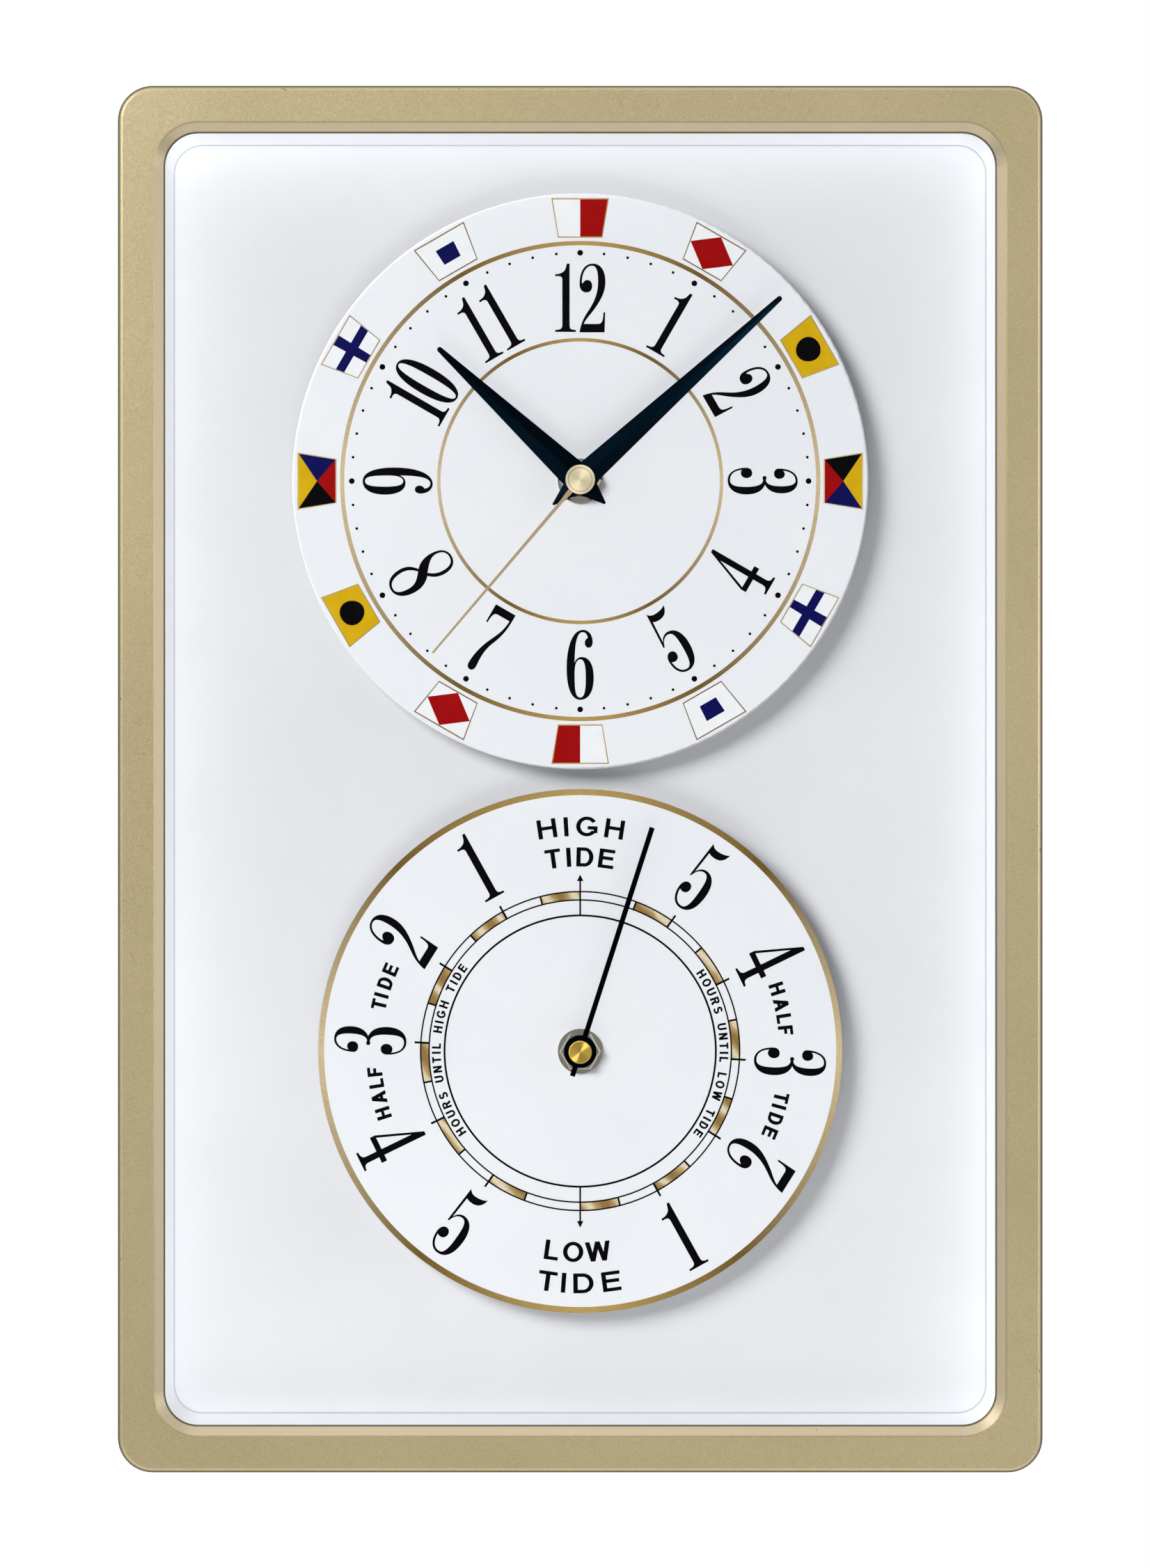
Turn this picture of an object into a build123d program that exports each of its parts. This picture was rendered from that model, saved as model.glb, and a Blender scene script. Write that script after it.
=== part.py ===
from build123d import *
import math
import os

os.makedirs("parts", exist_ok=True)

# A wall clock with a clock dial above a tide dial, in millimetres.
# X runs to the viewer's right, Z runs up, and the front faces -Y. The wall is the plane
# y = 0. Heights below are measured from the wall towards the viewer.

# Clearances between pieces
running_gap = 0.08
press_gap = 0.02
seat_gap = 0.3
fit_gap = 0.15
end_gap = 0.7

# Case
case_width = 279.4
case_height = 419.1
case_corner = 10.5
case_wall = 2.6
border_width = 14.1
outer_bevel = 1.2
inner_bevel_width = 3.05
inner_bevel_drop = 2.85
opening_corner = 10.0
lip_thickness = 0.7
glass_thickness = 2.0
glass_overlap = 3.5
glass_room = 2.3

# Tray behind the glass
floor_thickness = 2.5
tray_wall = 2.0
tray_lip_cover = 0.2
tray_inset = 1.1
post_radius = 3.4
post_hole_depth = 14.0
screw_radius = 1.5
screw_head_radius = 2.9
screw_head_height = 1.9
screw_grip = 10.0
side_screw_share = 0.3
end_screw_share = 0.28

# Keyhole hanger on the tray's back, above the clock's movement
hanger_clearance = 26.0
hanger_width = 64.0
hanger_tall = 26.0
hanger_corner = 3.0
hanger_thickness = 1.2
hanger_back = 3.0
hanger_screw_span = 48.0
hanger_post_radius = 4.5
keyhole_radius = 4.5
keyhole_slot = 4.4
keyhole_rise = 8.0
keyhole_drop = 4.0

# Dials
clock_axis_height = 91.0
tide_axis_height = -83.0
clock_dial_radius = 88.0
tide_dial_radius = 80.0
dial_thickness = 2.0
dial_edge_round = 0.7
spacer_height = 5.0
spacer_share = 0.5
spacer_bore_share = 0.3

# Movement housings
movement_width = 56.0
movement_height = 56.0
movement_back = 3.0
movement_corner = 2.0
housing_wall = 1.2
housing_plate = 1.6
lid_thickness = 1.4
divider_wall = 1.0
lid_post_radius = 2.0
bush_radius = 4.0
gasket_thickness = 1.0
gasket_radius = 10.0

# Gear train layers, counted from the lid at the back
wheel_thickness = 1.0
layer_step = 2.05
pinion_overhang = 0.4
arbor_radius = 0.45
pivot_depth = 0.8
pivot_hole_depth = 0.9
second_arbor_radius = 0.5
minute_pipe_radius = 1.6
hour_pipe_radius = 2.5
clutch_radius = 2.3
clutch_collar = 0.35

# Teeth of the running train: the first number drives the second
rotor_teeth = 10
intermediate_teeth = 60
intermediate_pinion_teeth = 10
second_teeth = 50
second_pinion_teeth = 10
third_teeth = 75
third_pinion_teeth = 10
center_teeth = 80
rotor_module = 0.2
second_module = 0.29
third_module = 0.2

# Teeth of the motion work, which brings the minute pipe down to the slow hand
clock_motion_teeth = (15, 45, 12, 48)
tide_motion_teeth = (11, 41, 12, 40)
motion_distance = 9.0
knob_teeth = 12

# Tooth shape, in modules for the heights and in pitches for the widths
addendum_share = 0.75
dedendum_share = 1.05
tooth_tip_share = 0.16
tooth_root_share = 0.5

# Directions from one arbor to the next, in degrees from +X towards +Z
third_direction = 60.0
intermediate_direction = -15.0
rotor_direction = 0.0
minute_wheel_direction = 150.0
knob_direction = 150.0
quarter_turn = 90.0
half_turn = 180.0

# Motor, circuit and battery
magnet_radius = 3.0
magnet_thickness = 2.4
stator_hole_radius = 3.4
stator_rim = 2.2
stator_thickness = 1.0
stator_rise = 22.0
coil_radius = 3.4
coil_length = 12.0
coil_core_width = 3.0
coil_core_thickness = 1.0
coil_core_lap = 1.5
stator_peg_radius = 1.0
board_width = 24.0
board_height = 8.5
board_thickness = 1.2
board_center = -7.0
board_top_room = 1.2
chip_radius = 2.4
chip_thickness = 1.0
crystal_radius = 1.5
crystal_length = 8.0
crystal_offset = 7.0
battery_radius = 7.25
battery_length = 49.2
battery_button_radius = 2.7
battery_button_length = 1.2
battery_room = 0.6
contact_thickness = 0.4
contact_width = 9.0
contact_boss_radius = 2.4
knob_radius = 4.5
knob_thickness = 1.6
knob_ribs = 20
knob_rib = 0.4
knob_stem_radius = 0.9

# Nuts on the bushes
nut_flange_radius = 6.85
nut_flange = 0.6
nut_across_flats = 11.0
nut_height = 2.2
nut_chamfer = 0.5
bush_stand = 0.4

# Hands: lengths run from the arbor, angles run clockwise from twelve
hand_gap = 0.7
hand_edge = 0.6
hand_ridge = 0.6
pipe_stand = 0.2
hour_length = 59.2
hour_tail = 10.4
hour_half_width = 4.55
hour_tip_half_width = 0.8
hour_angle = 312.95
minute_length = 82.7
minute_tail = 11.2
minute_half_width = 4.0
minute_tip_half_width = 0.8
minute_angle = 47.7
tail_tip_half_width = 0.3
tail_ridge_share = 0.3
tip_ridge_share = 0.6
second_length = 69.2
second_half_width = 0.53
second_tip_half_width = 0.3
second_neck = 5.5
second_neck_half_width = 0.75
second_neck_length = 3.0
second_edge = 0.5
second_disc_radius = 4.5
second_disc_thickness = 1.5
second_disc_rim = 0.9
second_disc_dish = 0.3
second_socket = 1.0
second_angle = 220.4
tide_length = 71.7
tide_tail = 7.8
tide_half_width = 0.79
tide_hub_radius = 4.95
tide_angle = 17.8
cap_radius = 3.5
cap_height = 3.0
cap_top = 0.8
cap_edge_round = 0.25
thread_length = 2.0

# Heights of the stack, from the wall to the face of the frame
lid_front = movement_back + lid_thickness
first_layer = lid_front + end_gap
last_layer_front = first_layer + 5 * layer_step + wheel_thickness
plate_back = last_layer_front + end_gap
movement_front = plate_back + housing_plate
floor_back = movement_front + gasket_thickness
floor_front = floor_back + floor_thickness
dial_back = floor_front + spacer_height
dial_front = dial_back + dial_thickness
nut_front = dial_front + nut_flange + nut_height
bush_front = nut_front + bush_stand
hour_back = bush_front + hand_gap
hour_front = hour_back + hand_edge + hand_ridge
minute_back = hour_front + hand_gap
minute_front = minute_back + hand_edge + hand_ridge
second_back = minute_front + hand_gap
second_front = second_back + second_disc_thickness
glass_back = second_front + glass_room
glass_front = glass_back + glass_thickness
lip_front = glass_front + lip_thickness
face_front = lip_front + inner_bevel_drop

# Outlines that follow from the case
opening_width = case_width - 2 * border_width
opening_height = case_height - 2 * border_width
inner_width = case_width - 2 * case_wall
inner_height = case_height - 2 * case_wall
tray_outer_width = opening_width + 2 * (tray_lip_cover + tray_wall)
tray_outer_height = opening_height + 2 * (tray_lip_cover + tray_wall)
bush_hole = bush_radius + fit_gap

# Screw posts run in the channel between the tray and the side walls
post_x = (tray_outer_width + inner_width) / 4
post_z = (tray_outer_height + inner_height) / 4
side_z = case_height * side_screw_share
end_x = case_width * end_screw_share
post_places = []
for side in (-1, 1):
    for end in (-1, 1):
        post_places.append((side * post_x, end * side_z))
        post_places.append((side * end_x, end * post_z))

movement_top = clock_axis_height + movement_height / 2
hanger_height = movement_top + hanger_clearance + hanger_tall / 2
hanger_places = [(side * hanger_screw_span / 2, hanger_height) for side in (-1, 1)]


def front(height):
    """A sketch plane facing the viewer, at a height out from the wall."""
    return Plane.XZ.offset(height)


def write(piece, name):
    piece.label = name
    export_step(piece, f"parts/{name}.step")


def slab(width, height, corner, start, depth, at=(0, 0), mode=Mode.ADD, taper=0):
    with BuildSketch(front(start)) as outline:
        with Locations(at):
            RectangleRounded(width, height, corner)
    extrude(outline.sketch, amount=depth, taper=taper, mode=mode)


def box(width, height, start, depth, at=(0, 0), mode=Mode.ADD):
    with BuildSketch(front(start)) as outline:
        with Locations(at):
            Rectangle(width, height)
    extrude(outline.sketch, amount=depth, mode=mode)


def disc(radius, start, depth, places=((0, 0),), mode=Mode.ADD):
    with BuildSketch(front(start)) as outline:
        with Locations(*places):
            Circle(radius)
    extrude(outline.sketch, amount=depth, mode=mode)


def polar(origin, distance, degrees):
    angle = math.radians(degrees)
    return (origin[0] + distance * math.cos(angle), origin[1] + distance * math.sin(angle))


def toothed(teeth, module, phase, at, start, depth):
    """A straight-sided gear; phase is the angle of one tooth's middle."""
    pitch = 2 * math.pi / teeth
    root = (teeth / 2 - dedendum_share) * module
    tip = (teeth / 2 + addendum_share) * module
    corners = (
        (root, -tooth_root_share / 2),
        (tip, -tooth_tip_share / 2),
        (tip, tooth_tip_share / 2),
        (root, tooth_root_share / 2),
    )
    points = []
    for tooth in range(teeth):
        for radius, turn in corners:
            angle = math.degrees(phase + (tooth + turn) * pitch)
            points.append(polar(at, radius, angle))
    with BuildSketch(front(start)) as outline:
        with BuildLine():
            Polyline(*points, close=True)
        make_face()
    extrude(outline.sketch, amount=depth)


def meshed_phase(teeth, phase, direction, other_teeth):
    """Phase of the other gear, so that its gaps take this gear's teeth."""
    angle = math.radians(direction)
    offset = (phase - angle) * teeth / (2 * math.pi)
    return angle + math.pi + (0.5 - offset) * 2 * math.pi / other_teeth


# Frame: side walls, flat face with a bevel on both edges, rebate for the glass, posts
with BuildPart() as bezel_frame:
    slab(case_width, case_height, case_corner, 0, face_front)
    face_edges = bezel_frame.faces().sort_by(Axis.Y)[0].outer_wire().edges()
    chamfer(face_edges, length=outer_bevel)
    slab(inner_width, inner_height, case_corner - case_wall, 0, glass_back, mode=Mode.SUBTRACT)
    slab(
        opening_width + 2 * (glass_overlap + seat_gap),
        opening_height + 2 * (glass_overlap + seat_gap),
        opening_corner,
        glass_back,
        glass_thickness,
        mode=Mode.SUBTRACT,
    )
    slab(opening_width, opening_height, opening_corner, glass_front, lip_thickness, mode=Mode.SUBTRACT)
    slab(
        opening_width,
        opening_height,
        opening_corner,
        lip_front,
        inner_bevel_drop,
        mode=Mode.SUBTRACT,
        taper=-math.degrees(math.atan2(inner_bevel_width, inner_bevel_drop)),
    )
    disc(post_radius, floor_front, glass_back - floor_front, post_places)
    disc(screw_radius + running_gap, floor_front, post_hole_depth, post_places, Mode.SUBTRACT)
write(bezel_frame.part, "bezel_frame")

with BuildPart() as front_glass:
    slab(
        opening_width + 2 * glass_overlap,
        opening_height + 2 * glass_overlap,
        opening_corner - seat_gap,
        glass_back,
        glass_thickness,
    )
write(front_glass.part, "front_glass")

# Tray: a flanged floor with sloping walls that press the glass against the lip
with BuildPart() as dial_tray:
    slab(
        inner_width - 2 * seat_gap,
        inner_height - 2 * seat_gap,
        case_corner - case_wall - seat_gap,
        floor_back,
        floor_thickness,
    )
    slab(
        tray_outer_width,
        tray_outer_height,
        opening_corner + tray_lip_cover + tray_wall,
        floor_front,
        glass_back - floor_front,
    )
    slab(
        opening_width - 2 * tray_inset,
        opening_height - 2 * tray_inset,
        opening_corner - tray_inset,
        floor_front,
        glass_back - floor_front,
        mode=Mode.SUBTRACT,
        taper=-math.degrees(math.atan2(tray_inset + tray_lip_cover, glass_back - floor_front)),
    )
    bush_places = ((0, clock_axis_height), (0, tide_axis_height))
    disc(bush_hole, floor_back, floor_thickness, bush_places, Mode.SUBTRACT)
    disc(screw_radius + fit_gap, floor_back, floor_thickness, post_places, Mode.SUBTRACT)
    hanger_front = hanger_back + hanger_thickness
    disc(hanger_post_radius, hanger_front, floor_back - hanger_front, hanger_places)
    disc(screw_radius + running_gap, hanger_front, post_hole_depth, hanger_places, Mode.SUBTRACT)
write(dial_tray.part, "dial_tray")


def screws(name, seat, grip, places):
    """Pan-head screws driven towards the viewer, with their heads under the seat."""
    with BuildPart() as group:
        disc(screw_head_radius, seat - screw_head_height, screw_head_height, places)
        disc(screw_radius, seat, grip, places)
        slot_depth = screw_head_height / 2
        for at in places:
            for wide, tall in ((screw_radius * 2, screw_radius / 2), (screw_radius / 2, screw_radius * 2)):
                box(wide, tall, seat - screw_head_height, slot_depth, at, Mode.SUBTRACT)
    write(group.part, name)


screws("tray_screws", floor_back, floor_thickness + screw_grip, post_places)
screws("hanger_screws", hanger_back, hanger_thickness + screw_grip, hanger_places)

with BuildPart() as hanger_plate:
    slab(hanger_width, hanger_tall, hanger_corner, hanger_back, hanger_thickness, (0, hanger_height))
    entry = (0, hanger_height - keyhole_drop)
    rest = (0, hanger_height - keyhole_drop + keyhole_rise)
    slot_middle = (0, hanger_height - keyhole_drop + keyhole_rise / 2)
    disc(keyhole_radius, hanger_back, hanger_thickness, (entry,), Mode.SUBTRACT)
    box(keyhole_slot, keyhole_rise, hanger_back, hanger_thickness, slot_middle, Mode.SUBTRACT)
    disc(keyhole_slot / 2, hanger_back, hanger_thickness, (rest,), Mode.SUBTRACT)
    disc(screw_radius + fit_gap, hanger_back, hanger_thickness, hanger_places, Mode.SUBTRACT)
write(hanger_plate.part, "hanger_plate")


def dial(name, radius, axis_height):
    with BuildPart() as face:
        disc(radius, dial_back, dial_thickness, ((0, axis_height),))
        fillet(face.faces().sort_by(Axis.Y)[0].edges(), radius=dial_edge_round)
        disc(bush_hole, dial_back, dial_thickness, ((0, axis_height),), Mode.SUBTRACT)
    write(face.part, name)


def dial_spacer(name, radius, axis_height):
    with BuildPart() as ring:
        disc(radius * spacer_share, floor_front, spacer_height, ((0, axis_height),))
        bore = radius * spacer_share * spacer_bore_share
        disc(bore, floor_front, spacer_height, ((0, axis_height),), Mode.SUBTRACT)
    write(ring.part, name)


dial("clock_dial", clock_dial_radius, clock_axis_height)
dial("tide_dial", tide_dial_radius, tide_axis_height)
dial_spacer("clock_dial_spacer", clock_dial_radius, clock_axis_height)
dial_spacer("tide_dial_spacer", tide_dial_radius, tide_axis_height)


def movement(prefix, axis_height, motion_teeth, second_end, minute_end, hour_end, hour_bore_end):
    """One battery movement around a bush at the given height, as separate pieces."""
    axis = (0, axis_height)
    minute_pinion, minute_wheel_teeth, hour_pinion, hour_teeth = motion_teeth
    rotor_distance = rotor_module * (rotor_teeth + intermediate_teeth) / 2
    second_distance = second_module * (intermediate_pinion_teeth + second_teeth) / 2
    third_distance = third_module * (second_pinion_teeth + third_teeth) / 2
    center_module = 2 * third_distance / (third_pinion_teeth + center_teeth)
    minute_module = 2 * motion_distance / (minute_pinion + minute_wheel_teeth)
    hour_module = 2 * motion_distance / (hour_pinion + hour_teeth)
    knob_distance = minute_module * (minute_wheel_teeth + knob_teeth) / 2

    third_at = polar(axis, third_distance, third_direction)
    intermediate_at = polar(axis, second_distance, intermediate_direction)
    rotor_at = polar(intermediate_at, rotor_distance, rotor_direction)
    minute_at = polar(axis, motion_distance, minute_wheel_direction)
    knob_at = polar(minute_at, knob_distance, knob_direction)
    arbors = (third_at, intermediate_at, rotor_at, minute_at)

    layers = [first_layer + step * layer_step for step in range(6)]
    arbor_back = lid_front - pivot_depth
    arbor_length = plate_back + pivot_depth - arbor_back
    pinion_length = layer_step + pinion_overhang

    # Inside of the housing, and the battery bay along its lower edge
    half_width = movement_width / 2 - housing_wall
    top = axis_height + movement_height / 2 - housing_wall
    bottom = axis_height - movement_height / 2 + housing_wall
    bay_top = bottom + 2 * (battery_radius + battery_room)
    room_bottom = bay_top + divider_wall
    room_height = top - room_bottom
    room_middle = (0, (top + room_bottom) / 2)
    bay_middle = (0, (bottom + bay_top) / 2)
    room_depth = plate_back - movement_back

    # Motor and circuit places
    stator_left = rotor_at[0] - stator_hole_radius - stator_rim
    stator_width = 2 * (stator_hole_radius + stator_rim)
    stator_bottom = rotor_at[1] - stator_hole_radius - stator_rim
    stator_height = 2 * (stator_hole_radius + stator_rim) + stator_rise - stator_rim
    stator_middle = (rotor_at[0], stator_bottom + stator_height / 2)
    stator_back = layers[3] - stator_thickness / 4
    stator_front = stator_back + stator_thickness
    coil_middle = rotor_at[1] + stator_hole_radius + stator_rim + coil_length / 2
    coil_height = stator_front + coil_core_thickness / 2
    peg_x = stator_left + stator_width - stator_peg_radius
    pegs = (
        (peg_x, stator_bottom + stator_peg_radius),
        (peg_x, stator_bottom + stator_height - stator_peg_radius),
    )

    lid_posts = []
    for side in (-1, 1):
        for post_height in (room_bottom + lid_post_radius, top - lid_post_radius):
            lid_posts.append((side * (half_width - lid_post_radius), post_height))

    # Front housing with the bush, the battery bay, lid posts and bearing holes
    with BuildPart() as case:
        slab(movement_width, movement_height, movement_corner, movement_back, room_depth + housing_plate, axis)
        box(2 * half_width, room_height, movement_back, room_depth, room_middle, Mode.SUBTRACT)
        box(2 * half_width, bay_top - bottom, movement_back, room_depth, bay_middle, Mode.SUBTRACT)
        disc(lid_post_radius, lid_front, plate_back - lid_front, lid_posts)
        disc(stator_peg_radius, stator_front, plate_back - stator_front, pegs)
        disc(bush_radius, movement_front, bush_front - movement_front, (axis,))
        disc(hour_pipe_radius + running_gap, plate_back, bush_front - plate_back, (axis,), Mode.SUBTRACT)
        disc(arbor_radius + running_gap, plate_back, pivot_hole_depth, arbors + (knob_at,), Mode.SUBTRACT)
    write(case.part, f"{prefix}_movement_case")

    with BuildPart() as cover:
        box(
            2 * (half_width - fit_gap),
            room_height - 2 * fit_gap,
            movement_back,
            lid_thickness,
            room_middle,
        )
        hole_back = lid_front - pivot_hole_depth
        disc(arbor_radius + running_gap, hole_back, pivot_hole_depth, arbors, Mode.SUBTRACT)
        disc(second_arbor_radius + running_gap, hole_back, pivot_hole_depth, (axis,), Mode.SUBTRACT)
        disc(knob_stem_radius + running_gap, movement_back, lid_thickness, (knob_at,), Mode.SUBTRACT)
    write(cover.part, f"{prefix}_movement_cover")

    with BuildPart() as gasket:
        disc(gasket_radius, movement_front, gasket_thickness, (axis,))
        disc(bush_hole, movement_front, gasket_thickness, (axis,), Mode.SUBTRACT)
    write(gasket.part, f"{prefix}_washer")

    with BuildPart() as nut:
        disc(nut_flange_radius, dial_front, nut_flange, (axis,))
        with BuildSketch(front(dial_front + nut_flange)) as hexagon:
            with Locations(axis):
                RegularPolygon(nut_across_flats / 2, 6, major_radius=False)
        extrude(hexagon.sketch, amount=nut_height)
        chamfer(nut.faces().sort_by(Axis.Y)[0].edges(), length=nut_chamfer)
        disc(bush_radius + press_gap, dial_front, nut_flange + nut_height, (axis,), Mode.SUBTRACT)
    write(nut.part, f"{prefix}_hex_nut")

    # Step motor: magnet and pinion on one arbor, a steel stator and a coil on its core
    with BuildPart() as rotor:
        disc(arbor_radius, arbor_back, arbor_length, (rotor_at,))
        magnet_back = stator_back + stator_thickness / 2 - magnet_thickness / 2
        disc(magnet_radius, magnet_back, magnet_thickness, (rotor_at,))
        toothed(rotor_teeth, rotor_module, 0, rotor_at, layers[0], wheel_thickness + pinion_overhang)
    write(rotor.part, f"{prefix}_rotor")

    with BuildPart() as stator:
        box(stator_width, stator_height, stator_back, stator_thickness, stator_middle)
        disc(stator_hole_radius, stator_back, stator_thickness, (rotor_at,), Mode.SUBTRACT)
        window = (rotor_at[0], coil_middle)
        box(
            2 * (coil_radius + seat_gap),
            coil_length + 2 * seat_gap,
            stator_back,
            stator_thickness,
            window,
            Mode.SUBTRACT,
        )
    write(stator.part, f"{prefix}_stator")

    with BuildPart() as coil:
        with BuildSketch(Plane.XY.offset(coil_middle - coil_length / 2)) as winding:
            with Locations((rotor_at[0], -coil_height)):
                Circle(coil_radius)
        extrude(winding.sketch, amount=coil_length)
        core_length = coil_length + 2 * (seat_gap + coil_core_lap)
        box(coil_core_width, core_length, stator_front, coil_core_thickness, window)
    write(coil.part, f"{prefix}_coil")

    board_at = (board_center, top - board_top_room - board_height / 2)
    board_back = plate_back - board_thickness
    with BuildPart() as board:
        box(board_width, board_height, board_back, board_thickness, board_at)
        chip_at = (board_center - crystal_offset, board_at[1])
        disc(chip_radius, board_back - chip_thickness, chip_thickness, (chip_at,))
    write(board.part, f"{prefix}_circuit_board")

    with BuildPart() as crystal:
        crystal_start = board_center + crystal_offset - crystal_length / 2
        with BuildSketch(Plane.YZ.offset(crystal_start)) as can:
            with Locations((-(board_back - crystal_radius), board_at[1])):
                Circle(crystal_radius)
        extrude(can.sketch, amount=crystal_length)
    write(crystal.part, f"{prefix}_quartz_crystal")

    # Battery lying in the bay, button towards the viewer's right, between two contacts
    battery_height = plate_back - fit_gap - battery_radius
    total_length = battery_length + battery_button_length
    battery_start = -total_length / 2
    with BuildPart() as battery:
        with BuildSketch(Plane.YZ.offset(battery_start)) as can_end:
            with Locations((-battery_height, bay_middle[1])):
                Circle(battery_radius)
        extrude(can_end.sketch, amount=battery_length)
        with BuildSketch(Plane.YZ.offset(battery_start + battery_length)) as button:
            with Locations((-battery_height, bay_middle[1])):
                Circle(battery_button_radius)
        extrude(button.sketch, amount=battery_button_length)
    write(battery.part, f"{prefix}_battery")

    with BuildPart() as contacts:
        contact_gap = half_width - total_length / 2 - contact_thickness - fit_gap
        for side in (-1, 1):
            contact_plane = Plane.YZ.offset(side * half_width)
            with BuildSketch(contact_plane) as leaf:
                with Locations((-battery_height, bay_middle[1])):
                    Rectangle(contact_width, contact_width)
            extrude(leaf.sketch, amount=-side * contact_thickness)
            with BuildSketch(contact_plane.offset(-side * contact_thickness)) as boss:
                with Locations((-battery_height, bay_middle[1])):
                    Circle(contact_boss_radius)
            extrude(boss.sketch, amount=-side * contact_gap)
    write(contacts.part, f"{prefix}_battery_contacts")

    # Running train, from the rotor to the clutch wheel on the minute pipe
    intermediate_phase = meshed_phase(rotor_teeth, 0, rotor_direction + half_turn, intermediate_teeth)
    with BuildPart() as intermediate:
        disc(arbor_radius, arbor_back, arbor_length, (intermediate_at,))
        toothed(
            intermediate_teeth,
            rotor_module,
            intermediate_phase,
            intermediate_at,
            layers[0],
            wheel_thickness,
        )
        toothed(
            intermediate_pinion_teeth,
            second_module,
            0,
            intermediate_at,
            layers[0] + wheel_thickness,
            pinion_length,
        )
    write(intermediate.part, f"{prefix}_intermediate_wheel")

    second_phase = meshed_phase(intermediate_pinion_teeth, 0, intermediate_direction + half_turn, second_teeth)
    with BuildPart() as second:
        disc(second_arbor_radius, arbor_back, second_end - arbor_back, (axis,))
        toothed(second_teeth, second_module, second_phase, axis, layers[1], wheel_thickness)
        toothed(
            second_pinion_teeth,
            third_module,
            0,
            axis,
            layers[1] + wheel_thickness,
            layer_step,
        )
    write(second.part, f"{prefix}_second_wheel")

    third_phase = meshed_phase(second_pinion_teeth, 0, third_direction, third_teeth)
    with BuildPart() as third:
        disc(arbor_radius, arbor_back, arbor_length, (third_at,))
        toothed(third_teeth, third_module, third_phase, third_at, layers[2], wheel_thickness)
        toothed(
            third_pinion_teeth,
            center_module,
            0,
            third_at,
            layers[2] + wheel_thickness,
            pinion_length,
        )
    write(third.part, f"{prefix}_third_wheel")

    center_phase = meshed_phase(third_pinion_teeth, 0, third_direction + half_turn, center_teeth)
    with BuildPart() as center:
        toothed(center_teeth, center_module, center_phase, axis, layers[3], wheel_thickness)
        disc(minute_pipe_radius + running_gap, layers[3], wheel_thickness, (axis,), Mode.SUBTRACT)
    write(center.part, f"{prefix}_center_wheel")

    # Motion work: minute pipe with its pinion, minute wheel, hour wheel and setting knob
    clutch_back = layers[3] - running_gap - clutch_collar
    pinion_back = layers[4] - pinion_overhang
    with BuildPart() as pipe:
        disc(minute_pipe_radius, clutch_back, minute_end - clutch_back, (axis,))
        disc(clutch_radius, clutch_back, clutch_collar, (axis,))
        shoulder_back = layers[3] + wheel_thickness + running_gap
        disc(clutch_radius, shoulder_back, pinion_back - shoulder_back, (axis,))
        toothed(
            minute_pinion,
            minute_module,
            0,
            axis,
            pinion_back,
            wheel_thickness + 2 * pinion_overhang,
        )
        bore = second_arbor_radius + running_gap
        disc(bore, clutch_back, minute_end - clutch_back, (axis,), Mode.SUBTRACT)
    write(pipe.part, f"{prefix}_minute_pipe")

    minute_phase = meshed_phase(minute_pinion, 0, minute_wheel_direction, minute_wheel_teeth)
    with BuildPart() as minute:
        disc(arbor_radius, arbor_back, arbor_length, (minute_at,))
        toothed(
            minute_wheel_teeth,
            minute_module,
            minute_phase,
            minute_at,
            layers[4],
            wheel_thickness,
        )
        toothed(hour_pinion, hour_module, 0, minute_at, layers[4] + wheel_thickness, pinion_length)
    write(minute.part, f"{prefix}_minute_wheel")

    hour_phase = meshed_phase(hour_pinion, 0, minute_wheel_direction + half_turn, hour_teeth)
    with BuildPart() as hour:
        toothed(hour_teeth, hour_module, hour_phase, axis, layers[5], wheel_thickness)
        disc(hour_pipe_radius, layers[5], hour_end - layers[5], (axis,))
        bore = minute_pipe_radius + running_gap
        disc(bore, layers[5], hour_bore_end - layers[5], (axis,), Mode.SUBTRACT)
    write(hour.part, f"{prefix}_hour_wheel")

    knob_phase = meshed_phase(minute_wheel_teeth, minute_phase, knob_direction, knob_teeth)
    with BuildPart() as knob:
        knob_back = movement_back - seat_gap - knob_thickness
        toothed(knob_ribs, knob_rib, 0, knob_at, knob_back, knob_thickness)
        disc(knob_radius, knob_back, knob_thickness / 2, (knob_at,))
        disc(knob_stem_radius, knob_back, layers[4] - knob_back, (knob_at,))
        disc(arbor_radius, knob_back, plate_back + pivot_depth - knob_back, (knob_at,))
        toothed(
            knob_teeth,
            minute_module,
            knob_phase,
            knob_at,
            layers[4] - pinion_overhang,
            wheel_thickness + 2 * pinion_overhang,
        )
    write(knob.part, f"{prefix}_setting_knob")


movement(
    "clock",
    clock_axis_height,
    clock_motion_teeth,
    second_back + second_socket - press_gap,
    minute_back + hand_edge + pipe_stand,
    hour_back + hand_edge + pipe_stand,
    hour_back + hand_edge + pipe_stand,
)
movement(
    "tide",
    tide_axis_height,
    tide_motion_teeth,
    movement_front,
    movement_front,
    hour_back + hand_edge + thread_length,
    movement_front + end_gap,
)


def hand_plane(at, height, degrees, distance):
    """A plane across a hand, facing its tip, with +Y towards the viewer."""
    angle = math.radians(degrees)
    origin = (at[0] + distance * math.sin(angle), -height, at[1] + distance * math.cos(angle))
    return Plane(
        origin=origin,
        x_dir=(-math.cos(angle), 0, math.sin(angle)),
        z_dir=(math.sin(angle), 0, math.cos(angle)),
    )


def ridged_section(plane, half_width, ridge):
    with BuildSketch(plane) as section:
        with BuildLine():
            Polyline(
                (-half_width, 0),
                (half_width, 0),
                (half_width, hand_edge),
                (0, hand_edge + ridge),
                (-half_width, hand_edge),
                close=True,
            )
        make_face()
    return section.sketch


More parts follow.
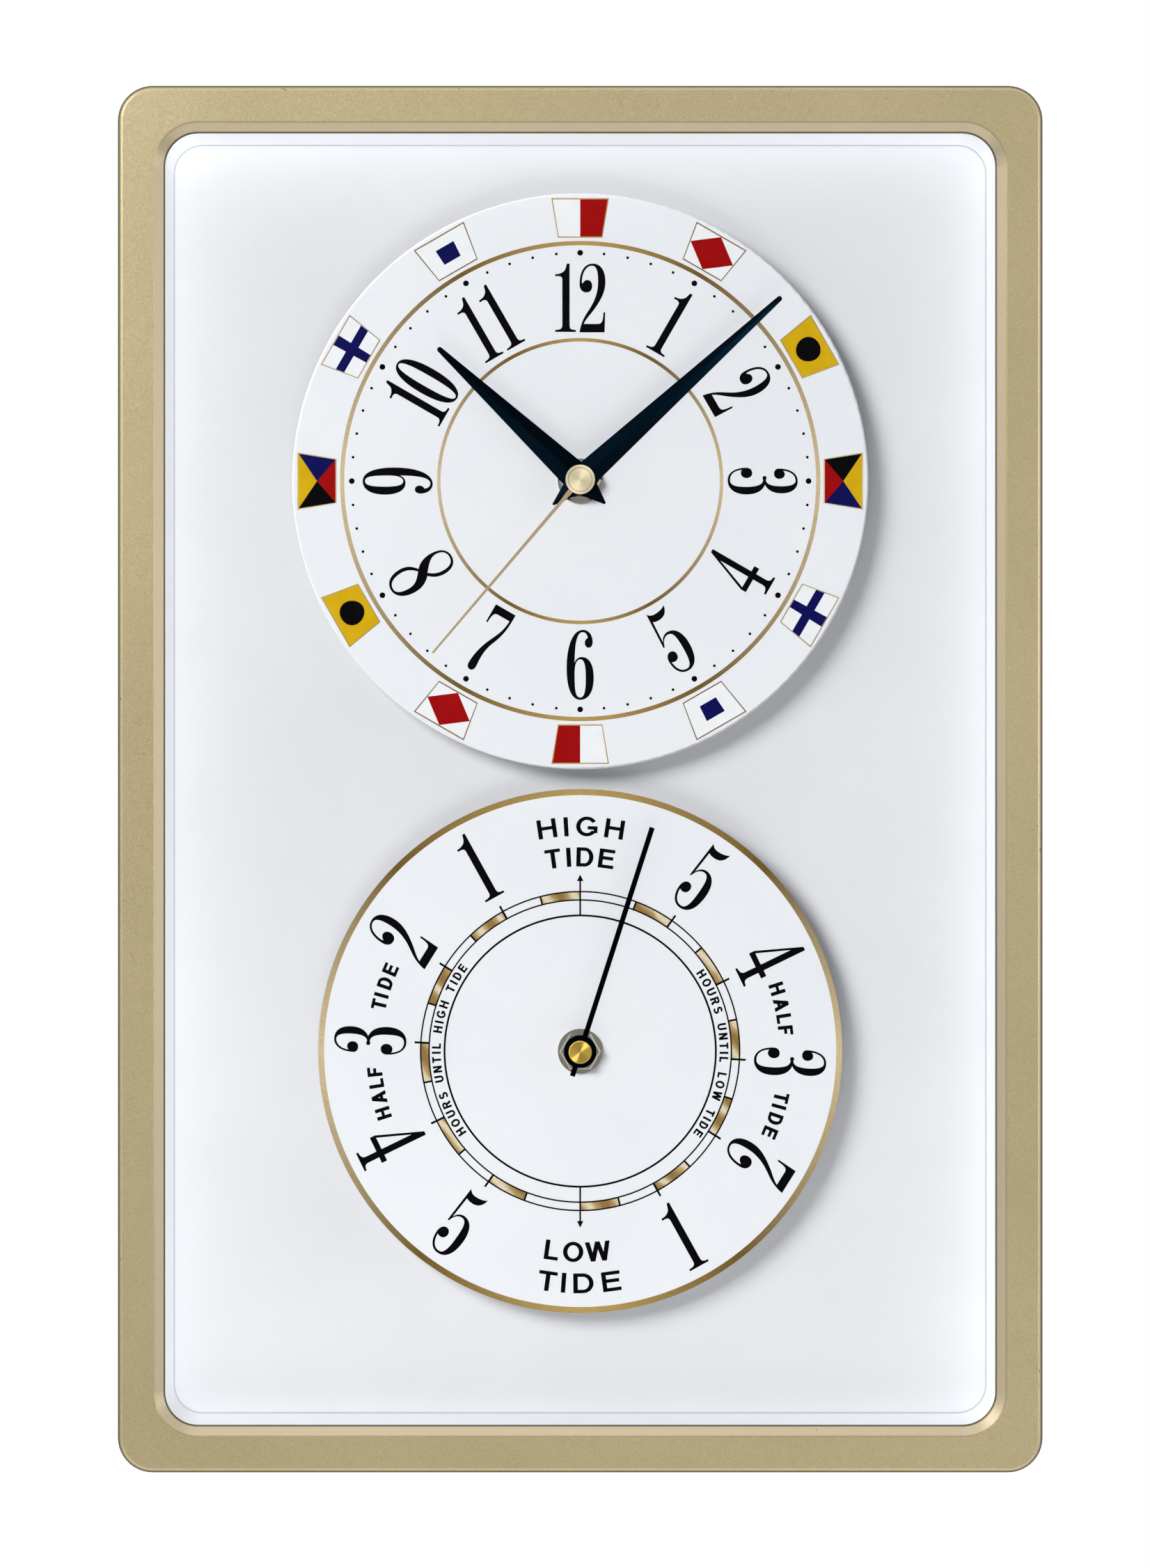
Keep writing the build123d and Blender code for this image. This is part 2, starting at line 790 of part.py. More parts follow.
def tapered_hand(name, height, degrees, length, tail, half_width, tip_half_width, bore):
    """A pointed hand with a ridge along its middle and a short pointed tail."""
    at = (0, clock_axis_height)
    tip = hand_plane(at, height, degrees, length - tip_half_width)
    middle = hand_plane(at, height, degrees, 0)
    end = hand_plane(at, height, degrees, -tail)
    with BuildPart() as hand:
        for outer, outer_width, share in (
            (tip, tip_half_width, tip_ridge_share),
            (end, tail_tip_half_width, tail_ridge_share),
        ):
            wide = ridged_section(middle, half_width, hand_ridge)
            narrow = ridged_section(outer, outer_width, hand_ridge * share)
            loft(sections=[wide, narrow], ruled=True)
        tip_at = polar(at, length - tip_half_width, quarter_turn - degrees)
        disc(tip_half_width, height, hand_edge, (tip_at,))
        disc(bore, height, hand_edge + hand_ridge, (at,), Mode.SUBTRACT)
    write(hand.part, name)


tapered_hand(
    "hour_hand",
    hour_back,
    hour_angle,
    hour_length,
    hour_tail,
    hour_half_width,
    hour_tip_half_width,
    hour_pipe_radius + press_gap,
)
tapered_hand(
    "minute_hand",
    minute_back,
    minute_angle,
    minute_length,
    minute_tail,
    minute_half_width,
    minute_tip_half_width,
    minute_pipe_radius + press_gap,
)


def strip(at, degrees, height, thickness, stations):
    """A flat straight-sided strip along a hand: (distance, half width) from tail to tip."""
    along = quarter_turn - degrees
    right = []
    left = []
    for distance, half_width in stations:
        middle = polar(at, distance, along)
        right.append(polar(middle, half_width, along - quarter_turn))
        left.append(polar(middle, half_width, along + quarter_turn))
    with BuildSketch(front(height)) as outline:
        with BuildLine():
            Polyline(*right, *reversed(left), close=True)
        make_face()
    extrude(outline.sketch, amount=thickness)


with BuildPart() as second_hand:
    clock_axis = (0, clock_axis_height)
    needle = (
        (second_disc_radius / 2, second_neck_half_width),
        (second_neck, second_neck_half_width),
        (second_neck + second_neck_length, second_half_width),
        (second_length, second_tip_half_width),
    )
    strip(clock_axis, second_angle, second_back, second_edge, needle)
    disc(second_disc_radius, second_back, second_disc_thickness, (clock_axis,))
    dish_back = second_front - second_disc_dish
    disc(second_disc_radius - second_disc_rim, dish_back, second_disc_dish, (clock_axis,), Mode.SUBTRACT)
    disc(second_arbor_radius + press_gap, second_back, second_socket, (clock_axis,), Mode.SUBTRACT)
write(second_hand.part, "second_hand")

tide_axis = (0, tide_axis_height)
with BuildPart() as tide_hand:
    baton = ((-tide_tail, tide_half_width), (tide_length, tide_half_width))
    strip(tide_axis, tide_angle, hour_back, hand_edge, baton)
    disc(tide_hub_radius, hour_back, hand_edge, (tide_axis,))
    disc(hour_pipe_radius + press_gap, hour_back, hand_edge, (tide_axis,), Mode.SUBTRACT)
write(tide_hand.part, "tide_hand")

with BuildPart() as tide_hand_cap:
    cap_back = hour_back + hand_edge
    disc(cap_radius, cap_back, cap_height, (tide_axis,))
    fillet(tide_hand_cap.faces().sort_by(Axis.Y)[0].edges(), radius=cap_edge_round)
    disc(hour_pipe_radius + press_gap, cap_back, cap_height - cap_top, (tide_axis,), Mode.SUBTRACT)
write(tide_hand_cap.part, "tide_hand_cap")
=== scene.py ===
import math

import bpy
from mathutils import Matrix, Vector
from mathutils.geometry import delaunay_2d_cdt


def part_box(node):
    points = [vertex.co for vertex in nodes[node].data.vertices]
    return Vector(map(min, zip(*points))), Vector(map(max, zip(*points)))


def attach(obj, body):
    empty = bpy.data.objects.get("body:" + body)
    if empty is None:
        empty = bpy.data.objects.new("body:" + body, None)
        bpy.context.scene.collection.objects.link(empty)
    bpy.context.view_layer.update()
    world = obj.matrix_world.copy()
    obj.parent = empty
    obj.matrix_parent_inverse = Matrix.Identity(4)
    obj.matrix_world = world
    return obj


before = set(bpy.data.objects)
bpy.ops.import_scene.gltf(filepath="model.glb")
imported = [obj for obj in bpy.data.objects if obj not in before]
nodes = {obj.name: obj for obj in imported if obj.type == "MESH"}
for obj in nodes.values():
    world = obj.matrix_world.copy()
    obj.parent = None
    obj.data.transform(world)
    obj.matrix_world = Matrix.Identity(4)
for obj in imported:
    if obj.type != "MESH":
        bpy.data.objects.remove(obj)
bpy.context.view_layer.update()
scene = bpy.context.scene

# Places on the clock, in millimetres. Prints are drawn in the plane of their dial, with x to the
# right and y up from the dial's middle, and angles run clockwise from twelve, in degrees.
MM = 0.001
CLOCK_HEIGHT, TIDE_HEIGHT = 91.0, -83.0
DIAL_FRONT = -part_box("clock_dial")[0][1] / MM
CASE_CORNER, OPENING_CORNER = 10.5, 10.0
BORDER, INNER_BEVEL = 14.1, 3.05
TRAY_INSET, TRAY_FLOOR = 1.1, 22.15
DISC_RADIUS, DISC_RIM = 4.5, 0.9
INK_SINK, INK, OVERPRINT = 0.02, 0.05, 0.09


# Camera: its sensor and lens are in millimetres, and its place is in metres

SENSOR_WIDTH, LENS = 36.0, 121.6
CAMERA_PLACE = (-0.00158, -1.646, -0.00147)

camera_data = bpy.data.cameras.new("camera")
camera_data.sensor_width = SENSOR_WIDTH
camera_data.lens = LENS
camera = bpy.data.objects.new("camera", camera_data)
camera.location = CAMERA_PLACE
camera.rotation_euler = (math.pi / 2, 0.0, 0.0)
scene.collection.objects.link(camera)
scene.camera = camera
scene.view_settings.view_transform = "Standard"


# Materials: colours are given as they look on a screen, 0 to 255, and sizes in millimetres

NOISE_RANGE = (0.3, 0.7)
GRAINS_TO_PATCH = 12
SOFT_PATCH = 9.0


def linear(colour):
    """A colour as it looks on a screen, turned into light."""
    shares = [c / 255 for c in colour]
    return [c / 12.92 if c <= 0.04045 else ((c + 0.055) / 1.055) ** 2.4 for c in shares] + [1.0]


class Nodes:
    """A node tree built step by step. What goes into a socket is a value or another socket."""

    def __init__(self, tree):
        self.tree = tree

    def add(self, kind, links=(), **values):
        node = self.tree.nodes.new(kind)
        for key, value in values.items():
            setattr(node, key, value)
        for socket, source in dict(links).items():
            self.put(node.inputs[socket], source)
        return node

    def put(self, socket, source):
        if isinstance(source, bpy.types.NodeSocket):
            self.tree.links.new(source, socket)
        else:
            socket.default_value = source

    def math(self, operation, first, second=0.0, third=0.0):
        links = {0: first, 1: second, 2: third}
        return self.add("ShaderNodeMath", links, operation=operation).outputs[0]

    def vector(self, operation, *sources):
        return self.add("ShaderNodeVectorMath", dict(enumerate(sources)), operation=operation).outputs

    def span(self, value, low, high, start=0.0, end=1.0):
        links = {"Value": value, "From Min": start, "From Max": end, "To Min": low, "To Max": high}
        return self.add("ShaderNodeMapRange", links).outputs["Result"]


class Paint(Nodes):
    """A material with object coordinates, in metres."""

    def __init__(self, name, **constants):
        self.made = bpy.data.materials.new(name)
        self.made.use_nodes = True
        super().__init__(self.made.node_tree)
        self.bsdf = self.tree.nodes["Principled BSDF"]
        self.output = self.tree.nodes["Material Output"]
        self.coords = self.add("ShaderNodeTexCoord").outputs["Object"]
        for socket, value in constants.items():
            self.bsdf.inputs[socket.replace("_", " ")].default_value = value

    def axes(self):
        return self.add("ShaderNodeSeparateXYZ", {0: self.coords}).outputs

    def noise(self, size, detail=3.0, rough=0.5, stretch=None):
        """Noise whose patches are about this many millimetres across."""
        vector = self.coords
        if stretch:
            vector = self.add("ShaderNodeMapping", {"Vector": vector, "Scale": stretch}).outputs[0]
        links = {"Vector": vector, "Scale": 1 / (size * MM), "Detail": detail, "Roughness": rough}
        return self.add("ShaderNodeTexNoise", links).outputs["Fac"]

    def ramp(self, value, *stops):
        node = self.add("ShaderNodeValToRGB", {"Fac": value})
        points = node.color_ramp.elements
        while len(points) < len(stops):
            points.new(0.5)
        for point, (place, colour) in zip(points, stops):
            point.position = place
            point.color = linear(colour)
        return node.outputs["Color"]

    def spread(self, noise, low=0, high=1):
        """Noise stretched from its usual range to run from low to high."""
        return self.span(noise, low, high, *NOISE_RANGE)

    def blend(self, first, share, second):
        """Two noises added up, with this share of the first."""
        return self.math("MULTIPLY_ADD", first, share, self.math("MULTIPLY", second, 1 - share))

    def mix(self, share, first, second):
        node = self.add("ShaderNodeMix", data_type="RGBA")
        self.put(node.inputs["Factor"], share)
        self.put(node.inputs[6], first)
        self.put(node.inputs[7], second)
        return node.outputs[2]

    def shaded(self, colour, noise, low, high):
        """A colour made darker and lighter by noise."""
        links = {"Color": colour, "Value": self.spread(noise, low, high)}
        return self.add("ShaderNodeHueSaturation", links).outputs["Color"]

    def outline_distance(self, half_x, half_z, corner):
        """How far a point is inside a rounded upright outline, in metres."""
        split = self.axes()
        over = []
        for name, half in (("X", half_x), ("Z", half_z)):
            over.append(self.math("SUBTRACT", self.math("ABSOLUTE", split[name]), half - corner))
        flat = [self.math("MAXIMUM", value, 0.0) for value in over]
        square = self.math("MULTIPLY_ADD", flat[0], flat[0], self.math("MULTIPLY", flat[1], flat[1]))
        beyond = self.math("MINIMUM", self.math("MAXIMUM", over[0], over[1]), 0.0)
        return self.math("SUBTRACT", corner, self.math("ADD", self.math("SQRT", square), beyond))

    def ridge(self, distance, place, half):
        """One along a line this many millimetres in from an outline, falling off to both sides."""
        away = self.math("ABSOLUTE", self.math("SUBTRACT", distance, place * MM))
        return self.span(away, 1.0, 0.0, 0.0, half * MM)

    def bump(self, height, depth, below=None):
        links = {"Height": height, "Distance": depth * MM, "Strength": 1.0}
        if below:
            links["Normal"] = below
        return self.add("ShaderNodeBump", links).outputs["Normal"]

    def colour(self, source):
        self.put(self.bsdf.inputs["Base Color"], source)

    def roughness(self, source):
        self.put(self.bsdf.inputs["Roughness"], source)

    def normal(self, source):
        self.put(self.bsdf.inputs["Normal"], source)

    def finish(self, grain, rough, depth):
        """Roughness and bump that follow a grain, and the material as it is then."""
        self.roughness(self.spread(grain, *rough))
        self.normal(self.bump(grain, depth))
        return self.made


def speckled(name, dark, light, rough, size, depth, fine=None, painted_light=None, **constants):
    """A surface with soft patches of two tones, a grain, and roughness that follows the grain. If
    painted_light is given, it paints light or shade over the tone.
    """
    paint = Paint(name, **constants)
    broad = paint.noise(size)
    grain = paint.noise(fine or size / GRAINS_TO_PATCH, detail=4.0)
    share = paint.spread(paint.blend(grain, 0.4, broad))
    tone = paint.mix(share, linear(dark), linear(light))
    paint.colour(painted_light(paint, tone) if painted_light else tone)
    return paint.finish(grain, rough, depth)


# Painted light and shade on the tray: the walls' paler tone, and the grey line of painted shade in the
# crease
CREASE_PAINTED_SHADE, WALL_PAINTED_LIGHT = (168, 179, 188), (230, 231, 234)
CREASE_SHADE_HALF = 0.5
FLOOR_FADE = (0.3, 0.8)


def tray_crease(paint, tone):
    """The tray's floor in this tone, with painted light on the walls, which are paler than the floor, and a
    thin grey line of painted shade in the crease where they meet.
    """
    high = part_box("bezel_frame")[1]
    inset = (BORDER + TRAY_INSET) * MM
    corner = (OPENING_CORNER - TRAY_INSET) * MM
    edge = paint.outline_distance(high[0] - inset, high[2] - inset, corner)
    depth = paint.axes()["Y"]
    near, far = FLOOR_FADE
    near_floor = paint.span(depth, 0.0, 1.0, -(TRAY_FLOOR + far) * MM, -(TRAY_FLOOR + near) * MM)
    # Painted light: the walls are paler than the floor
    walls = paint.mix(near_floor, linear(WALL_PAINTED_LIGHT), tone)
    on_front = paint.span(depth, 1.0, 0.0, -(TRAY_FLOOR - near) * MM, -(TRAY_FLOOR - far) * MM)
    on_floor = paint.math("MULTIPLY", near_floor, on_front)
    # Painted shade: a thin grey line along the crease between the walls and the floor
    line = paint.math("MULTIPLY", paint.ridge(edge, 0.0, CREASE_SHADE_HALF), on_floor)
    return paint.mix(line, walls, linear(CREASE_PAINTED_SHADE))


# Painted shade on the dials' rims, which the lamps light brighter than the face
DIAL_EDGE_SHADE_GREY = (222, 223, 228)
EDGE_FADE = (0.02, 0.3)


def cut_edge(paint, tone):
    """A dial's face in this tone, with painted shade: a greyer rim that tones down the light its edge
    catches.
    """
    near, far = EDGE_FADE
    depth = paint.axes()["Y"]
    behind_face = paint.span(depth, 0.0, 1.0, -(DIAL_FRONT - near) * MM, -(DIAL_FRONT - far) * MM)
    return paint.mix(behind_face, tone, linear(DIAL_EDGE_SHADE_GREY))


RING_SCALE, RING_DEPTH = 9000.0, 0.0008
# How strongly the painted shade in a groove darkens it
GROOVE_SHADE_SHARE, TONE_FADE = 0.55, 0.2


def turned(name, dark, light, rough, middle_z, beyond=None, groove=None, **constants):
    """Metal turned about an arbor, with its gloss drawn out along fine rings.

    Beyond is a radius and the tone outside it. Groove is the radius, half width and tone of a line of
    painted shade in the groove."""
    paint = Paint(name, Metallic=1.0, **constants)
    moved = paint.vector("SUBTRACT", paint.coords, (0, 0, middle_z * MM))[0]
    away = paint.vector("MULTIPLY", moved, (1, 0, 1))[0]
    round_it = paint.vector("CROSS_PRODUCT", away, (0, 1, 0))[0]
    along = paint.add("ShaderNodeVectorTransform", {"Vector": round_it}, vector_type="VECTOR",
                      convert_from="OBJECT", convert_to="WORLD")
    paint.put(paint.bsdf.inputs["Tangent"], along.outputs[0])
    reach = paint.vector("LENGTH", away)["Value"]
    links = {"W": reach, "Scale": RING_SCALE, "Detail": 3.0}
    rings = paint.add("ShaderNodeTexNoise", links, noise_dimensions="1D").outputs["Fac"]
    tone = paint.mix(paint.spread(rings), linear(dark), linear(light))
    if groove:
        radius, half, shade_tone = groove
        # Painted shade along the groove
        groove_shade = paint.math("MULTIPLY", paint.ridge(reach, radius, half), GROOVE_SHADE_SHARE)
        tone = paint.mix(groove_shade, tone, linear(shade_tone))
    if beyond:
        radius, outer = beyond
        outside = paint.span(reach, 0.0, 1.0, (radius - TONE_FADE) * MM, radius * MM)
        tone = paint.mix(outside, tone, linear(outer))
    paint.colour(tone)
    return paint.finish(rings, rough, RING_DEPTH)


def brushed(name, dark, light, rough, stretch, depth, size=0.5, **constants):
    """Metal with a grain drawn in one direction."""
    paint = Paint(name, **constants)
    lines = paint.noise(size, detail=5.0, stretch=stretch)
    soft = paint.noise(SOFT_PATCH)
    share = paint.spread(paint.blend(lines, 0.6, soft))
    paint.colour(paint.mix(share, linear(dark), linear(light)))
    return paint.finish(lines, rough, depth)


FOIL_METAL, FOIL_ROUGH, FOIL_DEPTH = 0.25, (0.34, 0.5), 0.01
FOIL_GRAIN, BLOCK_GRAIN = 0.35, 0.3
# Size and bend of the painted sheen's streaks on the tide scale's blocks
SHEEN_SCALE, SHEEN_BEND = 62.0, 2.5


def gold_foil(name, middle_z, stops):
    """Printed gold with a fine grain, and a painted reflection: its tone runs dark and pale round the dial
    as the foil's sheen would. Stops are clockwise degrees.
    """
    paint = Paint(name, Metallic=FOIL_METAL)
    split = paint.axes()
    up = paint.math("SUBTRACT", split["Z"], middle_z * MM)
    place = paint.add("ShaderNodeCombineXYZ", {"X": up, "Y": split["X"]}).outputs[0]
    turn = paint.add("ShaderNodeTexGradient", {"Vector": place}, gradient_type="RADIAL").outputs["Fac"]
    base = paint.ramp(turn, *sorted(((angle / 360 + 0.5) % 1, tone) for angle, tone in stops))
    grain = paint.noise(FOIL_GRAIN, detail=4.0)
    paint.colour(paint.shaded(base, grain, 0.86, 1.12))
    return paint.finish(grain, FOIL_ROUGH, FOIL_DEPTH)


def foil_blocks(name, dark, middle, pale):
    """Gold blocks of the tide scale, with a painted reflection: pale slanting streaks of sheen."""
    paint = Paint(name, Metallic=FOIL_METAL)
    links = {"Vector": paint.coords, "Scale": SHEEN_SCALE, "Distortion": SHEEN_BEND, "Detail": 2.0,
             "Detail Scale": 1.5}
    sheen = paint.add("ShaderNodeTexWave", links, bands_direction="DIAGONAL").outputs["Fac"]
    grain = paint.noise(BLOCK_GRAIN, detail=4.0)
    paint.colour(paint.ramp(paint.blend(grain, 0.3, sheen), (0.2, dark), (0.6, middle), (0.88, pale)))
    return paint.finish(grain, FOIL_ROUGH, FOIL_DEPTH)


# The frame's paint: its tones, painted light and shade among them, and places in from the outline (rim) or
# out from the opening (lip)

# The bevel's tone is painted light: the inner bevel is paler than the face
PAINT_DARK, PAINT_LIGHT, BEVEL_PAINTED_LIGHT = (189, 172, 131), (227, 210, 166), (214, 199, 171)
# A painted highlight along the outer crest, and a line of painted shade along the inner crest
CREST_PAINTED_HIGHLIGHT, CREST_PAINTED_SHADE = (244, 230, 196), (96, 82, 52)
# The first tone is painted shade along the outer edge and in the lip's gap; the chips' tone is their own
# colour
FRAME_EDGE_SHADE, CHIP_TONE = (62, 54, 38), (46, 38, 26)
FLAKE, CLOUD, SPOT, SCATTER = 0.4, 90.0, 1.3, 34.0
BEVEL_LIGHT_SHARE, BEVEL_FADE = 0.75, 0.3
OUTER_CREST, OUTER_HALF, OUTER_HIGHLIGHT_SHARE = 1.2, 0.35, 0.35
INNER_HALF, INNER_SHADE_SHARE = 0.4, 0.3
FRONT_FADE = (1.3, 1.9)
# Painted shade in from the outline, and out from the opening
OUTLINE_SHADE_SHARE, OUTLINE_SHADE_SPAN = 0.85, (0.3, 0.9)
LIP_SHADE_SHARE, LIP_SHADE_SPAN = 0.9, (0.2, 0.6)
CHIP_REACH, CHIP_PULL, SCATTER_PULL = 2.2, 0.085, 0.16
CHIP_LIMIT = (0.815, 0.825)
CHIP_DEPTH, FLAKE_DEPTH, ROUNDING = -0.03, 0.008, 0.7


def frame_paint():
    """Champagne gold sprayed on plastic: fine flake and chips at the edges, with painted light and shade: a
    paler bevel, a highlight on the outer crest, a shade line on the inner crest, and dark painted shade
    along the front of the outer edge and at the lip.
    """
    paint = Paint("champagne_paint", Metallic=0.66, IOR=1.45)
    flake = paint.noise(FLAKE, detail=6.0, rough=0.75)
    cloud = paint.noise(CLOUD, detail=2.0)
    share = paint.spread(paint.blend(flake, 0.75, cloud))
    tone = paint.mix(share, linear(PAINT_DARK), linear(PAINT_LIGHT))
    low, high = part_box("bezel_frame")
    rim = paint.outline_distance(high[0], high[2], CASE_CORNER * MM)
    lip = paint.outline_distance(high[0] - BORDER * MM, high[2] - BORDER * MM, OPENING_CORNER * MM)
    lip = paint.math("MULTIPLY", lip, -1.0)

    def fade(distance, start, places):
        return paint.span(distance, start, 0.0, places[0] * MM, places[1] * MM)

    # Painted light: the inner bevel is paler
    bevel_light = fade(lip, BEVEL_LIGHT_SHARE, (INNER_BEVEL - BEVEL_FADE, INNER_BEVEL))
    tone = paint.mix(bevel_light, tone, linear(BEVEL_PAINTED_LIGHT))
    # Painted highlight on the outer crest, and painted shade on the inner crest
    outer_highlight = paint.math("MULTIPLY", paint.ridge(rim, OUTER_CREST, OUTER_HALF), OUTER_HIGHLIGHT_SHARE)
    inner_shade = paint.math("MULTIPLY", paint.ridge(lip, INNER_BEVEL, INNER_HALF), INNER_SHADE_SHARE)
    tone = paint.mix(outer_highlight, tone, linear(CREST_PAINTED_HIGHLIGHT))
    tone = paint.mix(inner_shade, tone, linear(CREST_PAINTED_SHADE))
    behind_front = paint.math("SUBTRACT", paint.axes()["Y"], low[1])
    at_front = fade(behind_front, 1.0, FRONT_FADE)
    # Painted shade along the front of the outer edge and at the lip
    outline_shade = paint.math("MULTIPLY", fade(rim, OUTLINE_SHADE_SHARE, OUTLINE_SHADE_SPAN), at_front)
    edge_shade = paint.math("MAXIMUM", outline_shade, fade(lip, LIP_SHADE_SHARE, LIP_SHADE_SPAN))
    spots = paint.noise(SPOT, detail=5.0, rough=0.65)
    scatter = paint.noise(SCATTER, detail=1.0)
    edge = paint.math("MULTIPLY", fade(rim, 1.0, (0.0, CHIP_REACH)), at_front)
    score = paint.math("MULTIPLY_ADD", scatter, SCATTER_PULL, spots)
    score = paint.math("MULTIPLY_ADD", edge, CHIP_PULL, score)
    chip = paint.span(score, 0.0, 1.0, *CHIP_LIMIT)
    tone = paint.mix(edge_shade, tone, linear(FRAME_EDGE_SHADE))
    paint.colour(paint.mix(chip, tone, linear(CHIP_TONE)))
    paint.roughness(paint.spread(flake, 0.33, 0.46))
    rounded = paint.add("ShaderNodeBevel", {"Radius": ROUNDING * MM}).outputs[0]
    paint.normal(paint.bump(chip, CHIP_DEPTH, below=paint.bump(flake, FLAKE_DEPTH, below=rounded)))
    return paint.made


PANE_SMEAR, PANE_IOR, PANE_TINT = 45.0, 1.09, (0.985, 0.992, 0.99, 1.0)


def clear_glass():
    """A clear pane: what is behind it passes, and a faint gloss comes off its faces."""
    paint = Paint("clear_pane")
    smear = paint.noise(PANE_SMEAR, detail=3.0)
    gloss = paint.add("ShaderNodeBsdfGlossy", {"Roughness": paint.spread(smear, 0.01, 0.05)})
    clear = paint.add("ShaderNodeBsdfTransparent", {"Color": PANE_TINT})
    share = paint.add("ShaderNodeFresnel", {"IOR": PANE_IOR}).outputs[0]
    blend = paint.add("ShaderNodeMixShader", {0: share, 1: clear.outputs[0], 2: gloss.outputs[0]})
    paint.tree.links.new(blend.outputs[0], paint.output.inputs["Surface"])
    return paint.made


def cell_jacket(cap, dark, darker, pale):
    """A cell's printed sleeve: a dark band and a pale band along its length, with a satin grain."""
    paint = Paint("cell_jacket", Metallic=0.3, Coat_Weight=0.4)
    low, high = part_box("clock_battery")
    band = paint.span(paint.axes()["X"], 0.0, 1.0, low[0], high[0])
    base = paint.ramp(band, (0.02, cap), (0.05, dark), (0.66, darker), (0.68, pale))
    grain = paint.noise(0.4, detail=4.0, stretch=(0.1, 1.0, 1.0))
    paint.colour(paint.shaded(base, grain, 0.9, 1.1))
    return paint.finish(grain, (0.28, 0.42), 0.01)


LACQUER_GLOSS, LACQUER_TINT = 0.022, (0.08, 0.46, 1.0, 1.0)


def black_lacquer(dark, light):
    """Black lacquered metal with a cool gloss and a faint grain."""
    paint = Paint("black_lacquer", Specular_IOR_Level=LACQUER_GLOSS, Specular_Tint=LACQUER_TINT)
    broad = paint.noise(7.0)
    grain = paint.noise(0.22, detail=4.0)
    paint.colour(paint.mix(paint.spread(broad), linear(dark), linear(light)))
    return paint.finish(grain, (0.26, 0.4), 0.012)


# Painted reflection: the foil's sheen, dark and pale round each dial
SHEEN_DARK, GOLD, SHEEN_PALE = (112, 84, 22), (190, 158, 92), (220, 198, 156)
clock_foil = gold_foil("clock_foil", CLOCK_HEIGHT, (
    (0, GOLD), (30, SHEEN_DARK), (90, SHEEN_PALE), (150, SHEEN_DARK), (178, GOLD), (182, GOLD), (210, SHEEN_DARK), (270, SHEEN_PALE),
    (330, SHEEN_DARK)))
tide_foil = gold_foil("tide_foil", TIDE_HEIGHT, (
    (0, GOLD), (45, SHEEN_DARK), (90, SHEEN_PALE), (142, SHEEN_DARK), (178, GOLD), (182, GOLD), (218, SHEEN_DARK), (270, SHEEN_PALE),
    (315, SHEEN_DARK)))
blocks_gold = foil_blocks("scale_foil", (150, 116, 58), (190, 160, 104), (240, 226, 196))
gold_paint = frame_paint()
glass = clear_glass()
lacquer = black_lacquer((0, 1, 1), (0, 1, 3))
jacket = cell_jacket((196, 198, 200), (40, 70, 104), (36, 62, 94), (186, 160, 96))

INK_FINISH = {"rough": (0.36, 0.5), "size": 4.0, "depth": 0.01, "fine": 0.2, "Specular_IOR_Level": 0.1}
ink_red = speckled("ink_red", (150, 0, 2), (164, 4, 6), **INK_FINISH)
ink_yellow = speckled("ink_yellow", (208, 164, 8), (222, 180, 20), **INK_FINISH)
ink_navy = speckled("ink_navy", (2, 3, 72), (8, 9, 90), **INK_FINISH)
ink_white = speckled("ink_white", (240, 241, 245), (247, 248, 250), **{**INK_FINISH, "depth": 0.008})
ink_black = speckled(
    "ink_black", (1, 1, 2), (6, 5, 8), rough=(0.38, 0.55), size=3.0, depth=0.01, fine=0.2,
    Specular_IOR_Level=0.03)

tray_white = speckled(
    "tray_white", (212, 212, 216), (220, 220, 223), rough=(0.36, 0.5), size=60.0, depth=0.012, fine=0.6,
    painted_light=tray_crease)
dial_white = speckled(
    "dial_white", (237, 238, 243), (243, 244, 248), rough=(0.3, 0.42), size=40.0, depth=0.006, fine=0.5,
    painted_light=cut_edge)
nylon_white = speckled(
    "nylon_white", (214, 214, 210), (230, 230, 227), rough=(0.45, 0.6), size=8.0, depth=0.02)
case_black = speckled(
    "case_black", (20, 20, 21), (31, 31, 32), rough=(0.42, 0.58), size=18.0, depth=0.03, fine=0.35)
lid_black = speckled(
    "lid_black", (24, 24, 25), (36, 36, 37), rough=(0.4, 0.56), size=14.0, depth=0.035, fine=0.4)
knob_black = speckled(
    "knob_black", (16, 16, 17), (28, 28, 29), rough=(0.34, 0.48), size=3.0, depth=0.02, fine=0.25)
rubber = speckled(
    "gasket_rubber", (20, 20, 20), (34, 33, 32), rough=(0.7, 0.85), size=5.0, depth=0.03, fine=0.3)
magnet_dark = speckled(
    "magnet_dark", (44, 44, 46), (66, 66, 68), rough=(0.4, 0.56), size=1.5, depth=0.02, fine=0.15)
board_tan = speckled(
    "board_tan", (128, 92, 44), (152, 114, 60), rough=(0.45, 0.6), size=5.0, depth=0.012, fine=0.3)
GEAR_FINISH = {"rough": (0.34, 0.5), "size": 3.0, "depth": 0.012, "fine": 0.2}
gear_ivory = speckled("gear_ivory", (214, 209, 192), (234, 230, 215), **GEAR_FINISH)
gear_white = speckled("gear_white", (226, 227, 226), (240, 241, 240), **GEAR_FINISH)

